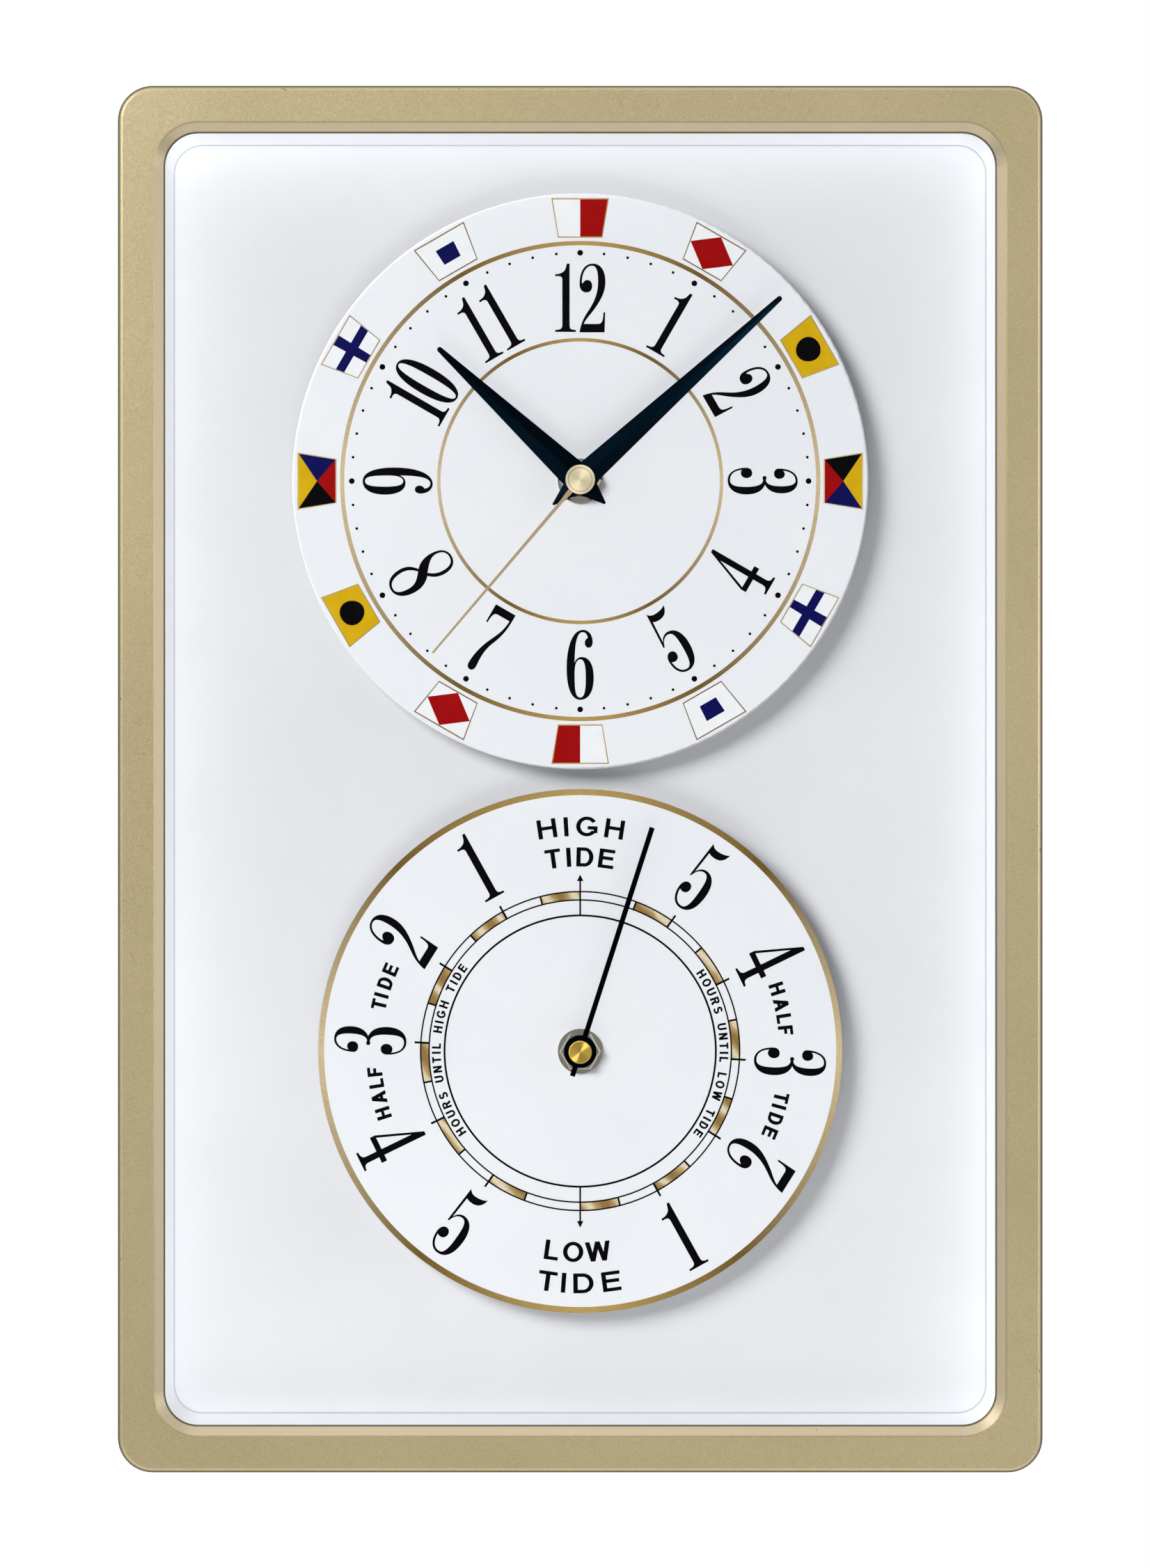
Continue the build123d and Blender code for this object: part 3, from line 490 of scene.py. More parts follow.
# The second hand's disc has a line of painted shade where the groove inside its rim lies
needle_gold = turned(
    "needle_gold", (250, 232, 188), (255, 244, 212), (0.4, 0.5), CLOCK_HEIGHT,
    beyond=(DISC_RADIUS, (180, 158, 128)), groove=(DISC_RADIUS - DISC_RIM, 0.3, (150, 122, 66)),
    Anisotropic=0.35)
cap_brass = turned(
    "cap_brass", (216, 174, 70), (240, 204, 104), (0.36, 0.46), TIDE_HEIGHT, Anisotropic=0.92)
nickel = brushed(
    "nickel", (186, 177, 164), (212, 205, 194), rough=(0.1, 0.19), stretch=(1, 1, 0.15), depth=0.0003,
    Metallic=1.0)
zinc = brushed(
    "zinc_steel", (168, 170, 172), (200, 202, 204), rough=(0.28, 0.44), stretch=(0.08, 1, 1), depth=0.015,
    Metallic=1.0)
screw_steel = brushed(
    "screw_steel", (150, 150, 150), (190, 190, 188), rough=(0.26, 0.4), stretch=(1, 0.2, 1), depth=0.01,
    Metallic=1.0)
spring_steel = brushed(
    "spring_steel", (184, 184, 182), (214, 214, 212), rough=(0.2, 0.32), stretch=(1, 1, 0.1), depth=0.008,
    Metallic=1.0)
pipe_brass = brushed(
    "pipe_brass", (184, 152, 84), (214, 184, 116), rough=(0.22, 0.36), stretch=(1, 0.1, 1), depth=0.008,
    Metallic=1.0)
winding = brushed(
    "copper_winding", (150, 74, 36), (206, 118, 64), rough=(0.26, 0.4), stretch=(12, 1, 12), depth=0.03,
    size=1.0, Metallic=0.85)

LOOKS = {
    "bezel_frame": gold_paint, "front_glass": glass, "dial_tray": tray_white,
    "clock_dial": dial_white, "tide_dial": dial_white,
    "clock_dial_spacer": nylon_white, "tide_dial_spacer": nylon_white,
    "hour_hand": lacquer, "minute_hand": lacquer, "tide_hand": lacquer,
    "second_hand": needle_gold, "tide_hand_cap": cap_brass,
    "hanger_plate": zinc, "hanger_screws": screw_steel, "tray_screws": screw_steel,
}
MOVEMENT_LOOKS = {
    "movement_case": case_black, "movement_cover": lid_black, "washer": rubber, "hex_nut": nickel,
    "circuit_board": board_tan, "quartz_crystal": spring_steel, "coil": winding, "stator": zinc,
    "battery": jacket, "battery_contacts": spring_steel, "rotor": magnet_dark,
    "intermediate_wheel": gear_white, "second_wheel": gear_ivory, "third_wheel": gear_white,
    "center_wheel": gear_ivory, "minute_pipe": pipe_brass, "minute_wheel": gear_white,
    "hour_wheel": gear_ivory, "setting_knob": knob_black,
}
for prefix in ("clock_", "tide_"):
    LOOKS.update({prefix + name: look for name, look in MOVEMENT_LOOKS.items()})
for name, look in LOOKS.items():
    nodes[name].data.materials.clear()
    nodes[name].data.materials.append(look)


# Outlines of the prints

SAME_POINT, FILL_LIMIT = 1e-6, 1e-7


def flatten(path, steps=9):
    """Points round a closed outline of straight runs (x, y) and curves (x1, y1, x2, y2, x, y)."""
    points = [path[0]]
    for step in path[1:]:
        if len(step) == 2:
            points.append(step)
            continue
        corners = (points[-1], step[0:2], step[2:4], step[4:6])
        for i in range(1, steps + 1):
            t = i / steps
            s = 1 - t
            weights = (s * s * s, 3 * s * s * t, 3 * s * t * t, t * t * t)
            points.append(tuple(sum(w * p[k] for w, p in zip(weights, corners)) for k in (0, 1)))
    if math.dist(points[0], points[-1]) < SAME_POINT:
        points.pop()
    return points


def box_loop(x0, y0, x1, y1):
    return [(x0, y0), (x1, y0), (x1, y1), (x0, y1)]


def arc_loop(x, y, outer, inner, start, end, steps=28):
    """Part of an oval ring, with angles anticlockwise from the right, in degrees."""
    turns = [math.radians(start + (end - start) * i / steps) for i in range(steps + 1)]
    far = [(x + outer[0] * math.cos(a), y + outer[1] * math.sin(a)) for a in turns]
    near = [(x + inner[0] * math.cos(a), y + inner[1] * math.sin(a)) for a in turns]
    return far + near[::-1]


def within(point, loop):
    """Whether a point is inside a loop, by the edges that a line to its right crosses."""
    odd = False
    x, y = point
    for i, (x1, y1) in enumerate(loop):
        x2, y2 = loop[i - 1]
        if (y1 > y) != (y2 > y) and x < (x2 - x1) * (y - y1) / (y2 - y1) + x1:
            odd = not odd
    return odd


def fill(solids, holes=()):
    """Triangles over the loops, less the holes: a list of points and a list of corners."""
    points, edges = [], []
    for loop in list(solids) + list(holes):
        first = len(points)
        points += [Vector(p) for p in loop]
        edges += [(first + i, first + (i + 1) % len(loop)) for i in range(len(loop))]
    found = delaunay_2d_cdt(points, edges, [], 0, FILL_LIMIT)
    flat, corners = [tuple(p) for p in found[0]], []
    for face in found[2]:
        middle = tuple(sum(flat[i][k] for i in face) / len(face) for k in (0, 1))
        if any(within(middle, s) for s in solids) and not any(within(middle, h) for h in holes):
            corners.append(list(face))
    return flat, corners


class Print:
    """Marks of one colour on a flat face, gathered as thin closed slabs and made into one piece."""

    def __init__(self, name, material, slot, middle_z, top=INK, bottom=-INK_SINK, face=DIAL_FRONT):
        self.name, self.material, self.slot, self.middle_z = name, material, slot, middle_z
        self.heights = (-(face + top) * MM, -(face + bottom) * MM)
        self.verts, self.faces = [], []

    def area(self, solids, holes=(), place=lambda p: p):
        flat, corners = fill(solids, holes)
        used = sorted({i for face in corners for i in face})
        index = {old: new for new, old in enumerate(used)}
        spots = [place(flat[i]) for i in used]
        ring = {}
        tops = []
        for face in corners:
            face = [index[i] for i in face]
            (ax, ay), (bx, by), (cx, cy) = (spots[i] for i in face[:3])
            if (bx - ax) * (cy - ay) - (by - ay) * (cx - ax) < 0:
                face.reverse()
            tops.append(face)
            for i, a in enumerate(face):
                ring[(a, face[(i + 1) % len(face)])] = True
        first, count = len(self.verts), len(spots)
        for height in self.heights:
            self.verts += [(x * MM, height, (self.middle_z + y) * MM) for x, y in spots]
        for face in tops:
            self.faces.append([first + i for i in face])
            self.faces.append([first + count + i for i in reversed(face)])
        for a, b in ring:
            if (b, a) not in ring:
                self.faces.append([first + b, first + a, first + count + a, first + count + b])

    def band(self, inner, outer, start=0.0, end=360.0, steps=240):
        """A ring or part of one, by its radii and clockwise angles."""
        whole = end - start >= 360
        count = steps if whole else steps + 1
        turns = [math.radians(start + (end - start) * i / steps) for i in range(count)]
        far = [(outer * math.sin(a), outer * math.cos(a)) for a in turns]
        near = [(inner * math.sin(a), inner * math.cos(a)) for a in turns]
        if whole:
            self.area([far], [near])
        else:
            self.area([far + near[::-1]])

    def dot(self, x, y, radius, steps=28):
        turns = [2 * math.pi * i / steps for i in range(steps)]
        self.area([[(x + radius * math.cos(a), y + radius * math.sin(a)) for a in turns]])

    def make(self):
        mesh = bpy.data.meshes.new(self.name)
        mesh.from_pydata(self.verts, [], self.faces)
        mesh.validate()
        mesh.materials.append(self.material)
        made = bpy.data.objects.new(self.name, mesh)
        scene.collection.objects.link(made)
        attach(made, "case")
        return made


def on_dial(angle, radius, inward=False):
    """Where a point of upright lettering goes, with its middle at this angle and radius."""
    turn = math.radians(angle)
    out = (math.sin(turn), math.cos(turn))
    side = (math.cos(turn), -math.sin(turn))
    sign = -1 if inward else 1

    def place(point):
        x, y = point[0] * sign, radius + point[1] * sign
        return (side[0] * x + out[0] * y, side[1] * x + out[1] * y)

    return place


# Numerals: x to the right and y down from the top left, in grid steps of which 319 make the height
DIGIT_STEPS = 319
SIX = [
    (0, 178), (0, 70, 30, 0, 76, 0), (104, 0, 121, 26, 121, 56), (121, 72, 114, 83, 102, 83),
    (91, 83, 84, 73, 84, 61), (84, 50, 90, 42, 98, 38), (96, 22, 88, 11, 74, 11),
    (46, 11, 38, 70, 37, 152), (44, 134, 56, 126, 72, 126), (106, 126, 126, 164, 126, 222),
    (126, 284, 104, 325, 63, 325), (22, 325, 0, 270, 0, 178)]
SIX_EYE = [
    (37, 205), (37, 160, 46, 137, 64, 137), (82, 137, 89, 165, 89, 222),
    (89, 286, 82, 314, 63, 314), (42, 314, 37, 284, 37, 205)]


def turned_over(path, width, height):
    """An outline turned half round, which makes a nine of a six."""
    return [tuple((width if k % 2 == 0 else height) - v for k, v in enumerate(step)) for step in path]


DIGITS = {
    "1": (97, [[
        (56, 0), (68, 0), (68, 285), (68, 303, 74, 307, 97, 308), (97, 317), (1, 317), (1, 308),
        (24, 307, 34, 303, 34, 285), (34, 75), (34, 62, 26, 58, 14, 58), (2, 59), (2, 49),
        (30, 49, 46, 36, 50, 20), (53, 10, 54, 5, 56, 0)]], []),
    "2": (120, [[
        (0, 95), (0, 38, 22, 0, 62, 0), (98, 0, 120, 32, 120, 84), (120, 132, 100, 166, 74, 204),
        (52, 236, 34, 250, 19, 280), (84, 280), (104, 280, 109, 268, 111, 226), (119, 226),
        (116, 319), (0, 319), (4, 290, 14, 262, 30, 236), (48, 207, 86, 160, 86, 84),
        (86, 34, 78, 10, 58, 10), (32, 10, 12, 40, 11, 84), (11, 92, 13, 94, 16, 90),
        (20, 82, 28, 76, 36, 76), (52, 76, 59, 90, 59, 104), (59, 122, 48, 134, 32, 134),
        (12, 134, 0, 118, 0, 95)]], []),
    "3": (124, [[
        (4, 88), (4, 35, 26, 0, 62, 0), (98, 0, 119, 28, 119, 75), (119, 118, 100, 143, 79, 152),
        (106, 162, 124, 190, 124, 238), (124, 290, 100, 325, 58, 325), (22, 325, 0, 290, 0, 238),
        (0, 222, 10, 211, 26, 211), (40, 211, 48, 224, 48, 237), (48, 252, 38, 264, 24, 264),
        (18, 264, 13, 262, 10, 258), (13, 295, 30, 314, 57, 314), (82, 314, 89, 290, 89, 240),
        (89, 190, 80, 162, 56, 160), (50, 166, 39, 164, 38, 154), (38, 144, 50, 142, 56, 148),
        (78, 147, 86, 118, 86, 76), (86, 34, 78, 10, 60, 10), (36, 10, 17, 32, 14, 68),
        (18, 63, 24, 60, 30, 60), (44, 60, 52, 72, 52, 86), (52, 100, 42, 110, 28, 110),
        (14, 110, 4, 102, 4, 88)]], []),
    "4": (125, [[
        (80, 0), (97, 0), (97, 207), (125, 207), (125, 233), (97, 233), (97, 285),
        (97, 302, 104, 308, 125, 309), (125, 319), (36, 319), (36, 309),
        (57, 308, 68, 302, 68, 285), (68, 233), (0, 233), (0, 207)]], [[
        (12, 207), (68, 207), (68, 58)]]),
    "5": (125, [[
        (18, 0), (28, 14, 40, 18, 54, 18), (76, 18, 98, 12, 110, 1), (104, 38, 84, 52, 56, 52),
        (44, 52, 34, 50, 27, 46), (21, 150), (30, 128, 46, 118, 64, 118),
        (102, 118, 125, 156, 125, 212), (125, 284, 100, 322, 58, 322), (22, 322, 0, 290, 0, 244),
        (0, 220, 12, 205, 27, 205), (42, 205, 50, 216, 50, 229), (50, 244, 40, 255, 27, 255),
        (19, 255, 13, 253, 10, 250), (14, 292, 32, 311, 57, 311), (82, 311, 89, 280, 89, 214),
        (89, 154, 82, 130, 58, 130), (38, 130, 24, 148, 18, 170), (16, 176, 11, 177, 10, 172)]], []),
    "6": (126, [SIX], [SIX_EYE]),
    "7": (105, [[
        (0, 0), (105, 0), (105, 30), (105, 100, 88, 140, 76, 170), (64, 200, 61, 230, 62, 262),
        (63, 280, 64, 290, 64, 298), (64, 312, 56, 322, 45, 322), (33, 322, 25, 312, 25, 298),
        (25, 250, 38, 200, 58, 158), (76, 120, 92, 90, 94, 38), (34, 38), (14, 38, 9, 48, 8, 92),
        (0, 92)]], []),
    "8": (127, [[
        (66, 0), (100, 0, 122, 26, 122, 68), (122, 100, 110, 125, 90, 143),
        (114, 166, 127, 192, 127, 228), (127, 286, 100, 323, 62, 323), (24, 323, 0, 292, 0, 242),
        (0, 206, 14, 184, 42, 163), (20, 144, 8, 116, 8, 82), (8, 30, 30, 0, 66, 0)]], [[
        (64, 11), (38, 11, 22, 30, 22, 60), (22, 92, 50, 112, 78, 136), (94, 118, 105, 96, 105, 66),
        (105, 28, 90, 11, 64, 11)], [
        (51, 171), (78, 194, 98, 208, 98, 246), (98, 290, 86, 312, 62, 312),
        (34, 312, 17, 286, 17, 240), (17, 212, 30, 190, 51, 171)]]),
    "9": (126, [turned_over(SIX, 126, 325)], [turned_over(SIX_EYE, 126, 325)]),
    "0": (124, [[
        (0, 162), (0, 60, 22, 0, 62, 0), (102, 0, 124, 60, 124, 162), (124, 263, 102, 323, 62, 323),
        (22, 323, 0, 263, 0, 162)]], [[
        (36, 162), (36, 60, 42, 9, 62, 9), (82, 9, 88, 60, 88, 162), (88, 263, 82, 314, 62, 314),
        (42, 314, 36, 263, 36, 162)]]),
}
PAIR_GAP = {"12": 17, "10": -3, "11": 20}


def numeral(ink, number, height, angle, radius, inward):
    """A number set upright and then turned to its hour."""
    step = height / DIGIT_STEPS
    gap = PAIR_GAP.get(number, 0)
    total = sum(DIGITS[c][0] for c in number) + gap * (len(number) - 1)
    left = -total / 2
    for c in number:
        width, solids, holes = DIGITS[c]

        def grid(path, shift=left):
            return [((x + shift) * step, (DIGIT_STEPS / 2 - y) * step) for x, y in flatten(path)]

        ink.area([grid(p) for p in solids], [grid(p) for p in holes], on_dial(angle, radius, inward))
        left += width + gap


# Plain capitals: the height is one, w is the width, and v and h are the widths of the upright and
# the level strokes. Other numbers are shares of the height or of w.

def letter(c, w, v, h):
    """The loops that make up a capital, which overlap."""
    side = box_loop(0, 0, v, 1)
    top = box_loop(0, 1 - h, w, 1)
    foot = box_loop(0, 0, w, h)
    if c == "H":
        return [side, box_loop(w - v, 0, w, 1), box_loop(0, 0.53 - h / 2, w, 0.53 + h / 2)]
    if c == "I":
        return [side]
    if c == "T":
        return [top, box_loop((w - v) / 2, 0, (w + v) / 2, 1)]
    if c == "E":
        return [side, top, foot, box_loop(0, 0.53 - h / 2, w * 0.93, 0.53 + h / 2)]
    if c == "F":
        return [side, top, box_loop(0, 0.5 - h / 2, w * 0.88, 0.5 + h / 2)]
    if c == "L":
        return [side, foot]
    if c == "O":
        half = w / 2
        outer, inner = (half, 0.515), (half - v, 0.515 - h)
        return [arc_loop(half, 0.5, outer, inner, 0, 180), arc_loop(half, 0.5, outer, inner, 180, 360)]
    if c == "G":
        half = w / 2
        ring = arc_loop(half, 0.5, (half, 0.515), (half - v, 0.515 - h), 33, 325)
        return [ring, box_loop(w * 0.54, 0.52 - h, w, 0.52), box_loop(w - v * 0.9, 0.16, w, 0.5)]
    if c == "D":
        bow = w * 0.52
        ring = arc_loop(w - bow, 0.5, (bow, 0.5), (bow - v, 0.5 - h), -90, 90)
        return [side, box_loop(0, 1 - h, w - bow, 1), box_loop(0, 0, w - bow, h), ring]
    if c == "U":
        bend = 0.36
        half = w / 2
        bowl = arc_loop(half, bend, (half, bend + 0.015), (half - v, bend + 0.015 - h), 180, 360)
        return [bowl, box_loop(0, bend, v, 1), box_loop(w - v, bend, w, 1)]
    if c == "R":
        bow = 0.27
        bend = w * 0.96 - bow
        ring = arc_loop(bend, 1 - 0.285, (bow, 0.285), (bow - v, 0.285 - h), -90, 90)
        leg = [(w * 0.42, 0.45), (w * 0.42 + v * 1.1, 0.45), (w, 0), (w - v * 1.25, 0)]
        return [side, box_loop(0, 1 - h, bend, 1), box_loop(0, 0.43, bend, 0.43 + h), ring, leg]
    if c == "S":
        half = w / 2
        tall = 0.2575 + h / 4
        upper = arc_loop(half, 1.015 - tall, (half * 0.95, tall), (half * 0.95 - v, tall - h), 22, 272)
        lower = arc_loop(half, tall - 0.015, (half, tall), (half - v, tall - h), 202, 452)
        return [upper, lower]
    if c == "N":
        return [side, box_loop(w - v, 0, w, 1), [(0, 1), (v * 1.1, 1), (w, 0), (w - v * 1.1, 0)]]
    if c == "A":
        wide = v * 1.08
        left = [(0, 0), (wide, 0), (w / 2 + wide / 2, 1), (w / 2 - wide / 2, 1)]
        right = [(w - wide, 0), (w, 0), (w / 2 + wide / 2, 1), (w / 2 - wide / 2, 1)]
        return [left, right, box_loop(w * 0.2, 0.23, w * 0.8, 0.23 + h)]
    # The one that is left is W
    wide = v * 1.05
    feet, knee = (w * 0.27, w * 0.73), w / 2
    loops = []
    for high, low in ((wide / 2, feet[0]), (knee, feet[0]), (knee, feet[1]), (w - wide / 2, feet[1])):
        loops.append([(low - wide / 2, 0), (low + wide / 2, 0), (high + wide / 2, 1), (high - wide / 2, 1)])
    return loops


LETTER_WIDTH = {
    "H": 0.76, "G": 0.86, "T": 0.68, "D": 0.74, "E": 0.68, "L": 0.6, "O": 0.86, "W": 1.06,
    "A": 0.84, "F": 0.62, "U": 0.76, "R": 0.78, "S": 0.72, "N": 0.76}


def letter_width(c, widen, v):
    return v if c == "I" else LETTER_WIDTH[c] * widen


def set_letter(ink, c, cap, widen, v, h, angle, radius, inward):
    """A capital of this height set upright and then turned to its angle."""
    w = letter_width(c, widen, v)
    loops = [[((x - w / 2) * cap, (y - 0.5) * cap) for x, y in loop] for loop in letter(c, w, v, h)]
    ink.area(loops, (), on_dial(angle, radius, inward))


def set_word(ink, text, cap, widen, v, h, radius, start, end, space):
    """Lettering spread along an arc, clockwise from start to end."""
    widths = [space if c == " " else letter_width(c, widen, v) for c in text]
    room = math.radians(end - start) * radius / cap
    gap = (room - sum(widths)) / (len(text) - 1)
    along = 0.0
    for c, wide in zip(text, widths):
        if c != " ":
            angle = start + math.degrees((along + wide / 2) * cap / radius)
            set_letter(ink, c, cap, widen, v, h, angle, radius, False)
        along += wide + gap


# Clock dial

HOUR_TURN, MINUTE_TURN = 30, 6
CLOCK_NUMERAL, CLOCK_NUMERAL_RADIUS = 21.0, 55.9
DOT_CIRCLE, HOUR_DOT, MINUTE_DOT = 69.7, 0.87, 0.42
CLOCK_RINGS = ((72.0, 73.3), (42.62, 43.68))

numerals = Print("clock_numerals", ink_black, "black_plastic", CLOCK_HEIGHT)
for hour in range(1, 13):
    inward = 4 <= hour <= 8
    numeral(numerals, str(hour), CLOCK_NUMERAL, hour * HOUR_TURN, CLOCK_NUMERAL_RADIUS, inward)
numerals.make()

dots = Print("clock_minute_dots", ink_black, "black_plastic", CLOCK_HEIGHT)
for minute in range(60):
    turn = math.radians(minute * MINUTE_TURN)
    size = HOUR_DOT if minute % 5 == 0 else MINUTE_DOT
    dots.dot(DOT_CIRCLE * math.sin(turn), DOT_CIRCLE * math.cos(turn), size)
dots.make()

rings = Print("clock_gold_rings", clock_foil, "gold_metal", CLOCK_HEIGHT)
for inner, outer in CLOCK_RINGS:
    rings.band(inner, outer)
rings.make()

FLAG_NEAR, FLAG_FAR = 74.66, 85.98
FLAG_NEAR_HALF, FLAG_FAR_HALF = 6.57, 8.38
FLAG_TALL = FLAG_FAR - FLAG_NEAR
FLAG_LINE = 0.36


def flag_spot(angle):
    """Where a point of a flag goes: across from -1 to 1, and up from 0 to 1."""
    turned_to = on_dial(angle, 0.0)

    def place(point):
        half = FLAG_NEAR_HALF + (FLAG_FAR_HALF - FLAG_NEAR_HALF) * point[1]
        return turned_to((point[0] * half, FLAG_NEAR + FLAG_TALL * point[1]))

    return place


# Six flags, which go round the dial twice
WHOLE = box_loop(-1, 0, 1, 1)
ROUND_STEPS, ROUND_WIDE, ROUND_TALL = 48, 0.5, 0.335
ROUND_TURNS = [2 * math.pi * i / ROUND_STEPS for i in range(ROUND_STEPS)]
ROUND = [(ROUND_WIDE * math.cos(a), 0.5 + ROUND_TALL * math.sin(a)) for a in ROUND_TURNS]
CROSS = [
    (-1, 0.38), (-0.2, 0.38), (-0.2, 0), (0.2, 0), (0.2, 0.38), (1, 0.38),
    (1, 0.62), (0.2, 0.62), (0.2, 1), (-0.2, 1), (-0.2, 0.62), (-1, 0.62)]
FLAGS = (
    (("white", WHOLE), ("red", box_loop(0, 0, 1, 1))),
    (("white", WHOLE), ("red", [(-1, 0.5), (0, 0), (1, 0.5), (0, 1)])),
    (("yellow", WHOLE), ("black", ROUND)),
    (("yellow", [(-1, 1), (0, 0.5), (1, 1)]), ("black", [(-1, 0), (0, 0.5), (-1, 1)]),
     ("navy", [(1, 0), (1, 1), (0, 0.5)]), ("red", [(-1, 0), (1, 0), (0, 0.5)])),
    (("white", WHOLE), ("navy", CROSS)),
    (("white", WHOLE), ("navy", box_loop(-0.4, 0.28, 0.4, 0.72))),
)
FLAG_INKS = {
    "white": ink_white, "red": ink_red, "yellow": ink_yellow, "navy": ink_navy, "black": ink_black}
flag_prints = {}
outline = Print("clock_flag_outlines", clock_foil, "gold_metal", CLOCK_HEIGHT, top=OVERPRINT)
edge_x, edge_y = FLAG_LINE / FLAG_FAR_HALF, FLAG_LINE / FLAG_TALL
around = box_loop(-1 - edge_x, -edge_y, 1 + edge_x, 1 + edge_y)
for hour in range(12):
    spot = flag_spot(hour * HOUR_TURN)
    for tone, loop in FLAGS[hour % len(FLAGS)]:
        whole = loop is WHOLE
        key = tone + ("_fields" if whole else "_marks")
        if key not in flag_prints:
            top = INK if whole else OVERPRINT
            name = "clock_flag_" + key
            flag_prints[key] = Print(name, FLAG_INKS[tone], "white_dial", CLOCK_HEIGHT, top=top)
        flag_prints[key].area([loop], (), spot)
    outline.area([around], [WHOLE], spot)
for made in flag_prints.values():
    made.make()
outline.make()


# Tide dial: the hours are counted back from each tide, and one turn is 12 hours and 25 minutes

HIGH_TIDE, LOW_TIDE = 0.0, 180.0
TIDE_HOUR = 360 / 12.42
TIDE_RIM, TIDE_EDGE = 78.15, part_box("tide_dial")[1][0] / MM
TIDE_NUMERAL, TIDE_NUMERAL_RADIUS = 21.7, 64.35

rim = Print("tide_gold_rim", tide_foil, "gold_metal", TIDE_HEIGHT)
rim.band(TIDE_RIM, TIDE_EDGE)
rim.make()

tide_numbers = Print("tide_numerals", ink_black, "black_plastic", TIDE_HEIGHT)
for hour in (1, 2, 3, 4, 5):
    for tide, inward in ((HIGH_TIDE, hour > 3), (LOW_TIDE, hour < 3)):
        angle = tide - hour * TIDE_HOUR
        numeral(tide_numbers, str(hour), TIDE_NUMERAL, angle, TIDE_NUMERAL_RADIUS, inward)
tide_numbers.make()

# Words: the capitals' height, how much they are widened, their radius and the angle of each letter
BIG_STROKES, SMALL_STROKES = (0.225, 0.175), (0.235, 0.2)
BIG_WORDS = (
    ("HIGH", 5.85, 1.3, 68.6, (-8.5, -3.6, 1.7, 8.8), False),
    ("TIDE", 5.85, 1.2, 59.25, (-8.0, -3.4, 1.4, 7.8), False),
    ("LOW", 6.0, 1.2, 61.35, (188.1, 182.0, 174.9), True),
    ("TIDE", 6.05, 1.38, 70.9, (188.1, 184.1, 179.2, 172.3), True),
)
HALF_CAPITALS, HALF_RADIUS = 4.55, 63.0
HALF_ANGLES = (-20.6, -16.1, -12.1, -8.8, 10.0, 12.6, 16.2, 20.2)
ARC_CAPITALS, ARC_RADIUS, ARC_SPACE = 2.7, 43.9, 0.5
ARC_WORDS = (("HOURS UNTIL HIGH TIDE", -125.4, -53.6), ("HOURS UNTIL LOW TIDE", 56.2, 126.0))

words = Print("tide_words", ink_black, "black_plastic", TIDE_HEIGHT)
for text, cap, widen, radius, angles, inward in BIG_WORDS:
    for c, angle in zip(text, angles):
        set_letter(words, c, cap, widen, *BIG_STROKES, angle, radius, inward)
for tide in (HIGH_TIDE, LOW_TIDE):
    middle = tide - 3 * TIDE_HOUR
    for c, angle in zip("HALFTIDE", HALF_ANGLES):
        set_letter(words, c, HALF_CAPITALS, 1.0, *SMALL_STROKES, middle + angle, HALF_RADIUS, False)
for text, start, end in ARC_WORDS:
    set_word(words, text, ARC_CAPITALS, 1.0, *SMALL_STROKES, ARC_RADIUS, start, end, ARC_SPACE)
words.make()

SCALE_LINES = ((41.11, 41.69), (45.91, 46.35), (48.46, 48.9))
BLOCK_INNER, BLOCK_OUTER = 46.1, 48.7
HOUR_TICK_HALF, HOUR_TICK_END = 0.31, 50.6
HALF_TICK_HALF = 0.28
STEM_HALF, STEM_START, STEM_END = 0.25, 41.4, 52.4
HEAD_HALF, HEAD_START, HEAD_TIP = 0.98, 51.9, 53.9

scale = Print("tide_scale", ink_black, "black_plastic", TIDE_HEIGHT, top=OVERPRINT)
for inner, outer in SCALE_LINES:
    scale.band(inner, outer)
hour_tick = box_loop(-HOUR_TICK_HALF, BLOCK_INNER, HOUR_TICK_HALF, HOUR_TICK_END)
half_tick = box_loop(-HALF_TICK_HALF, BLOCK_INNER, HALF_TICK_HALF, BLOCK_OUTER)
stem = box_loop(-STEM_HALF, STEM_START, STEM_HALF, STEM_END)
head = [(-HEAD_HALF, HEAD_START), (HEAD_HALF, HEAD_START), (0, HEAD_TIP)]
for tide in (HIGH_TIDE, LOW_TIDE):
    for hour in (1, 2, 3, 4, 5):
        scale.area([hour_tick], (), on_dial(tide - hour * TIDE_HOUR, 0.0))
    for hour in (0.5, 1.5, 2.5, 3.5, 4.5, 5.5):
        scale.area([half_tick], (), on_dial(tide - hour * TIDE_HOUR, 0.0))
    scale.area([stem, head], (), on_dial(tide, 0.0))
scale.make()

blocks = Print("tide_scale_blocks", blocks_gold, "gold_metal", TIDE_HEIGHT)
for tide in (HIGH_TIDE, LOW_TIDE):
    for hour in range(6):
        start, end = tide - (hour + 0.5) * TIDE_HOUR, tide - hour * TIDE_HOUR
        blocks.band(BLOCK_INNER, BLOCK_OUTER, start, end, steps=20)
blocks.make()


# Backs of the movements: moulded signs by the ends of each cell, and arrows round each setting knob

MARK_RAISE = 0.2
ARROW_OUTER, ARROW_INNER = (6.3, 6.3), (5.7, 5.7)
ARROW_TURNS = ((20, 160), (200, 340))
ARROW_HEAD = ((4.9, 0.0), (6.0, 2.0), (7.1, 0.0))
SIGN_UP, SIGN_IN, SIGN_LONG, SIGN_HALF = 3.0, 5.0, 1.6, 0.35

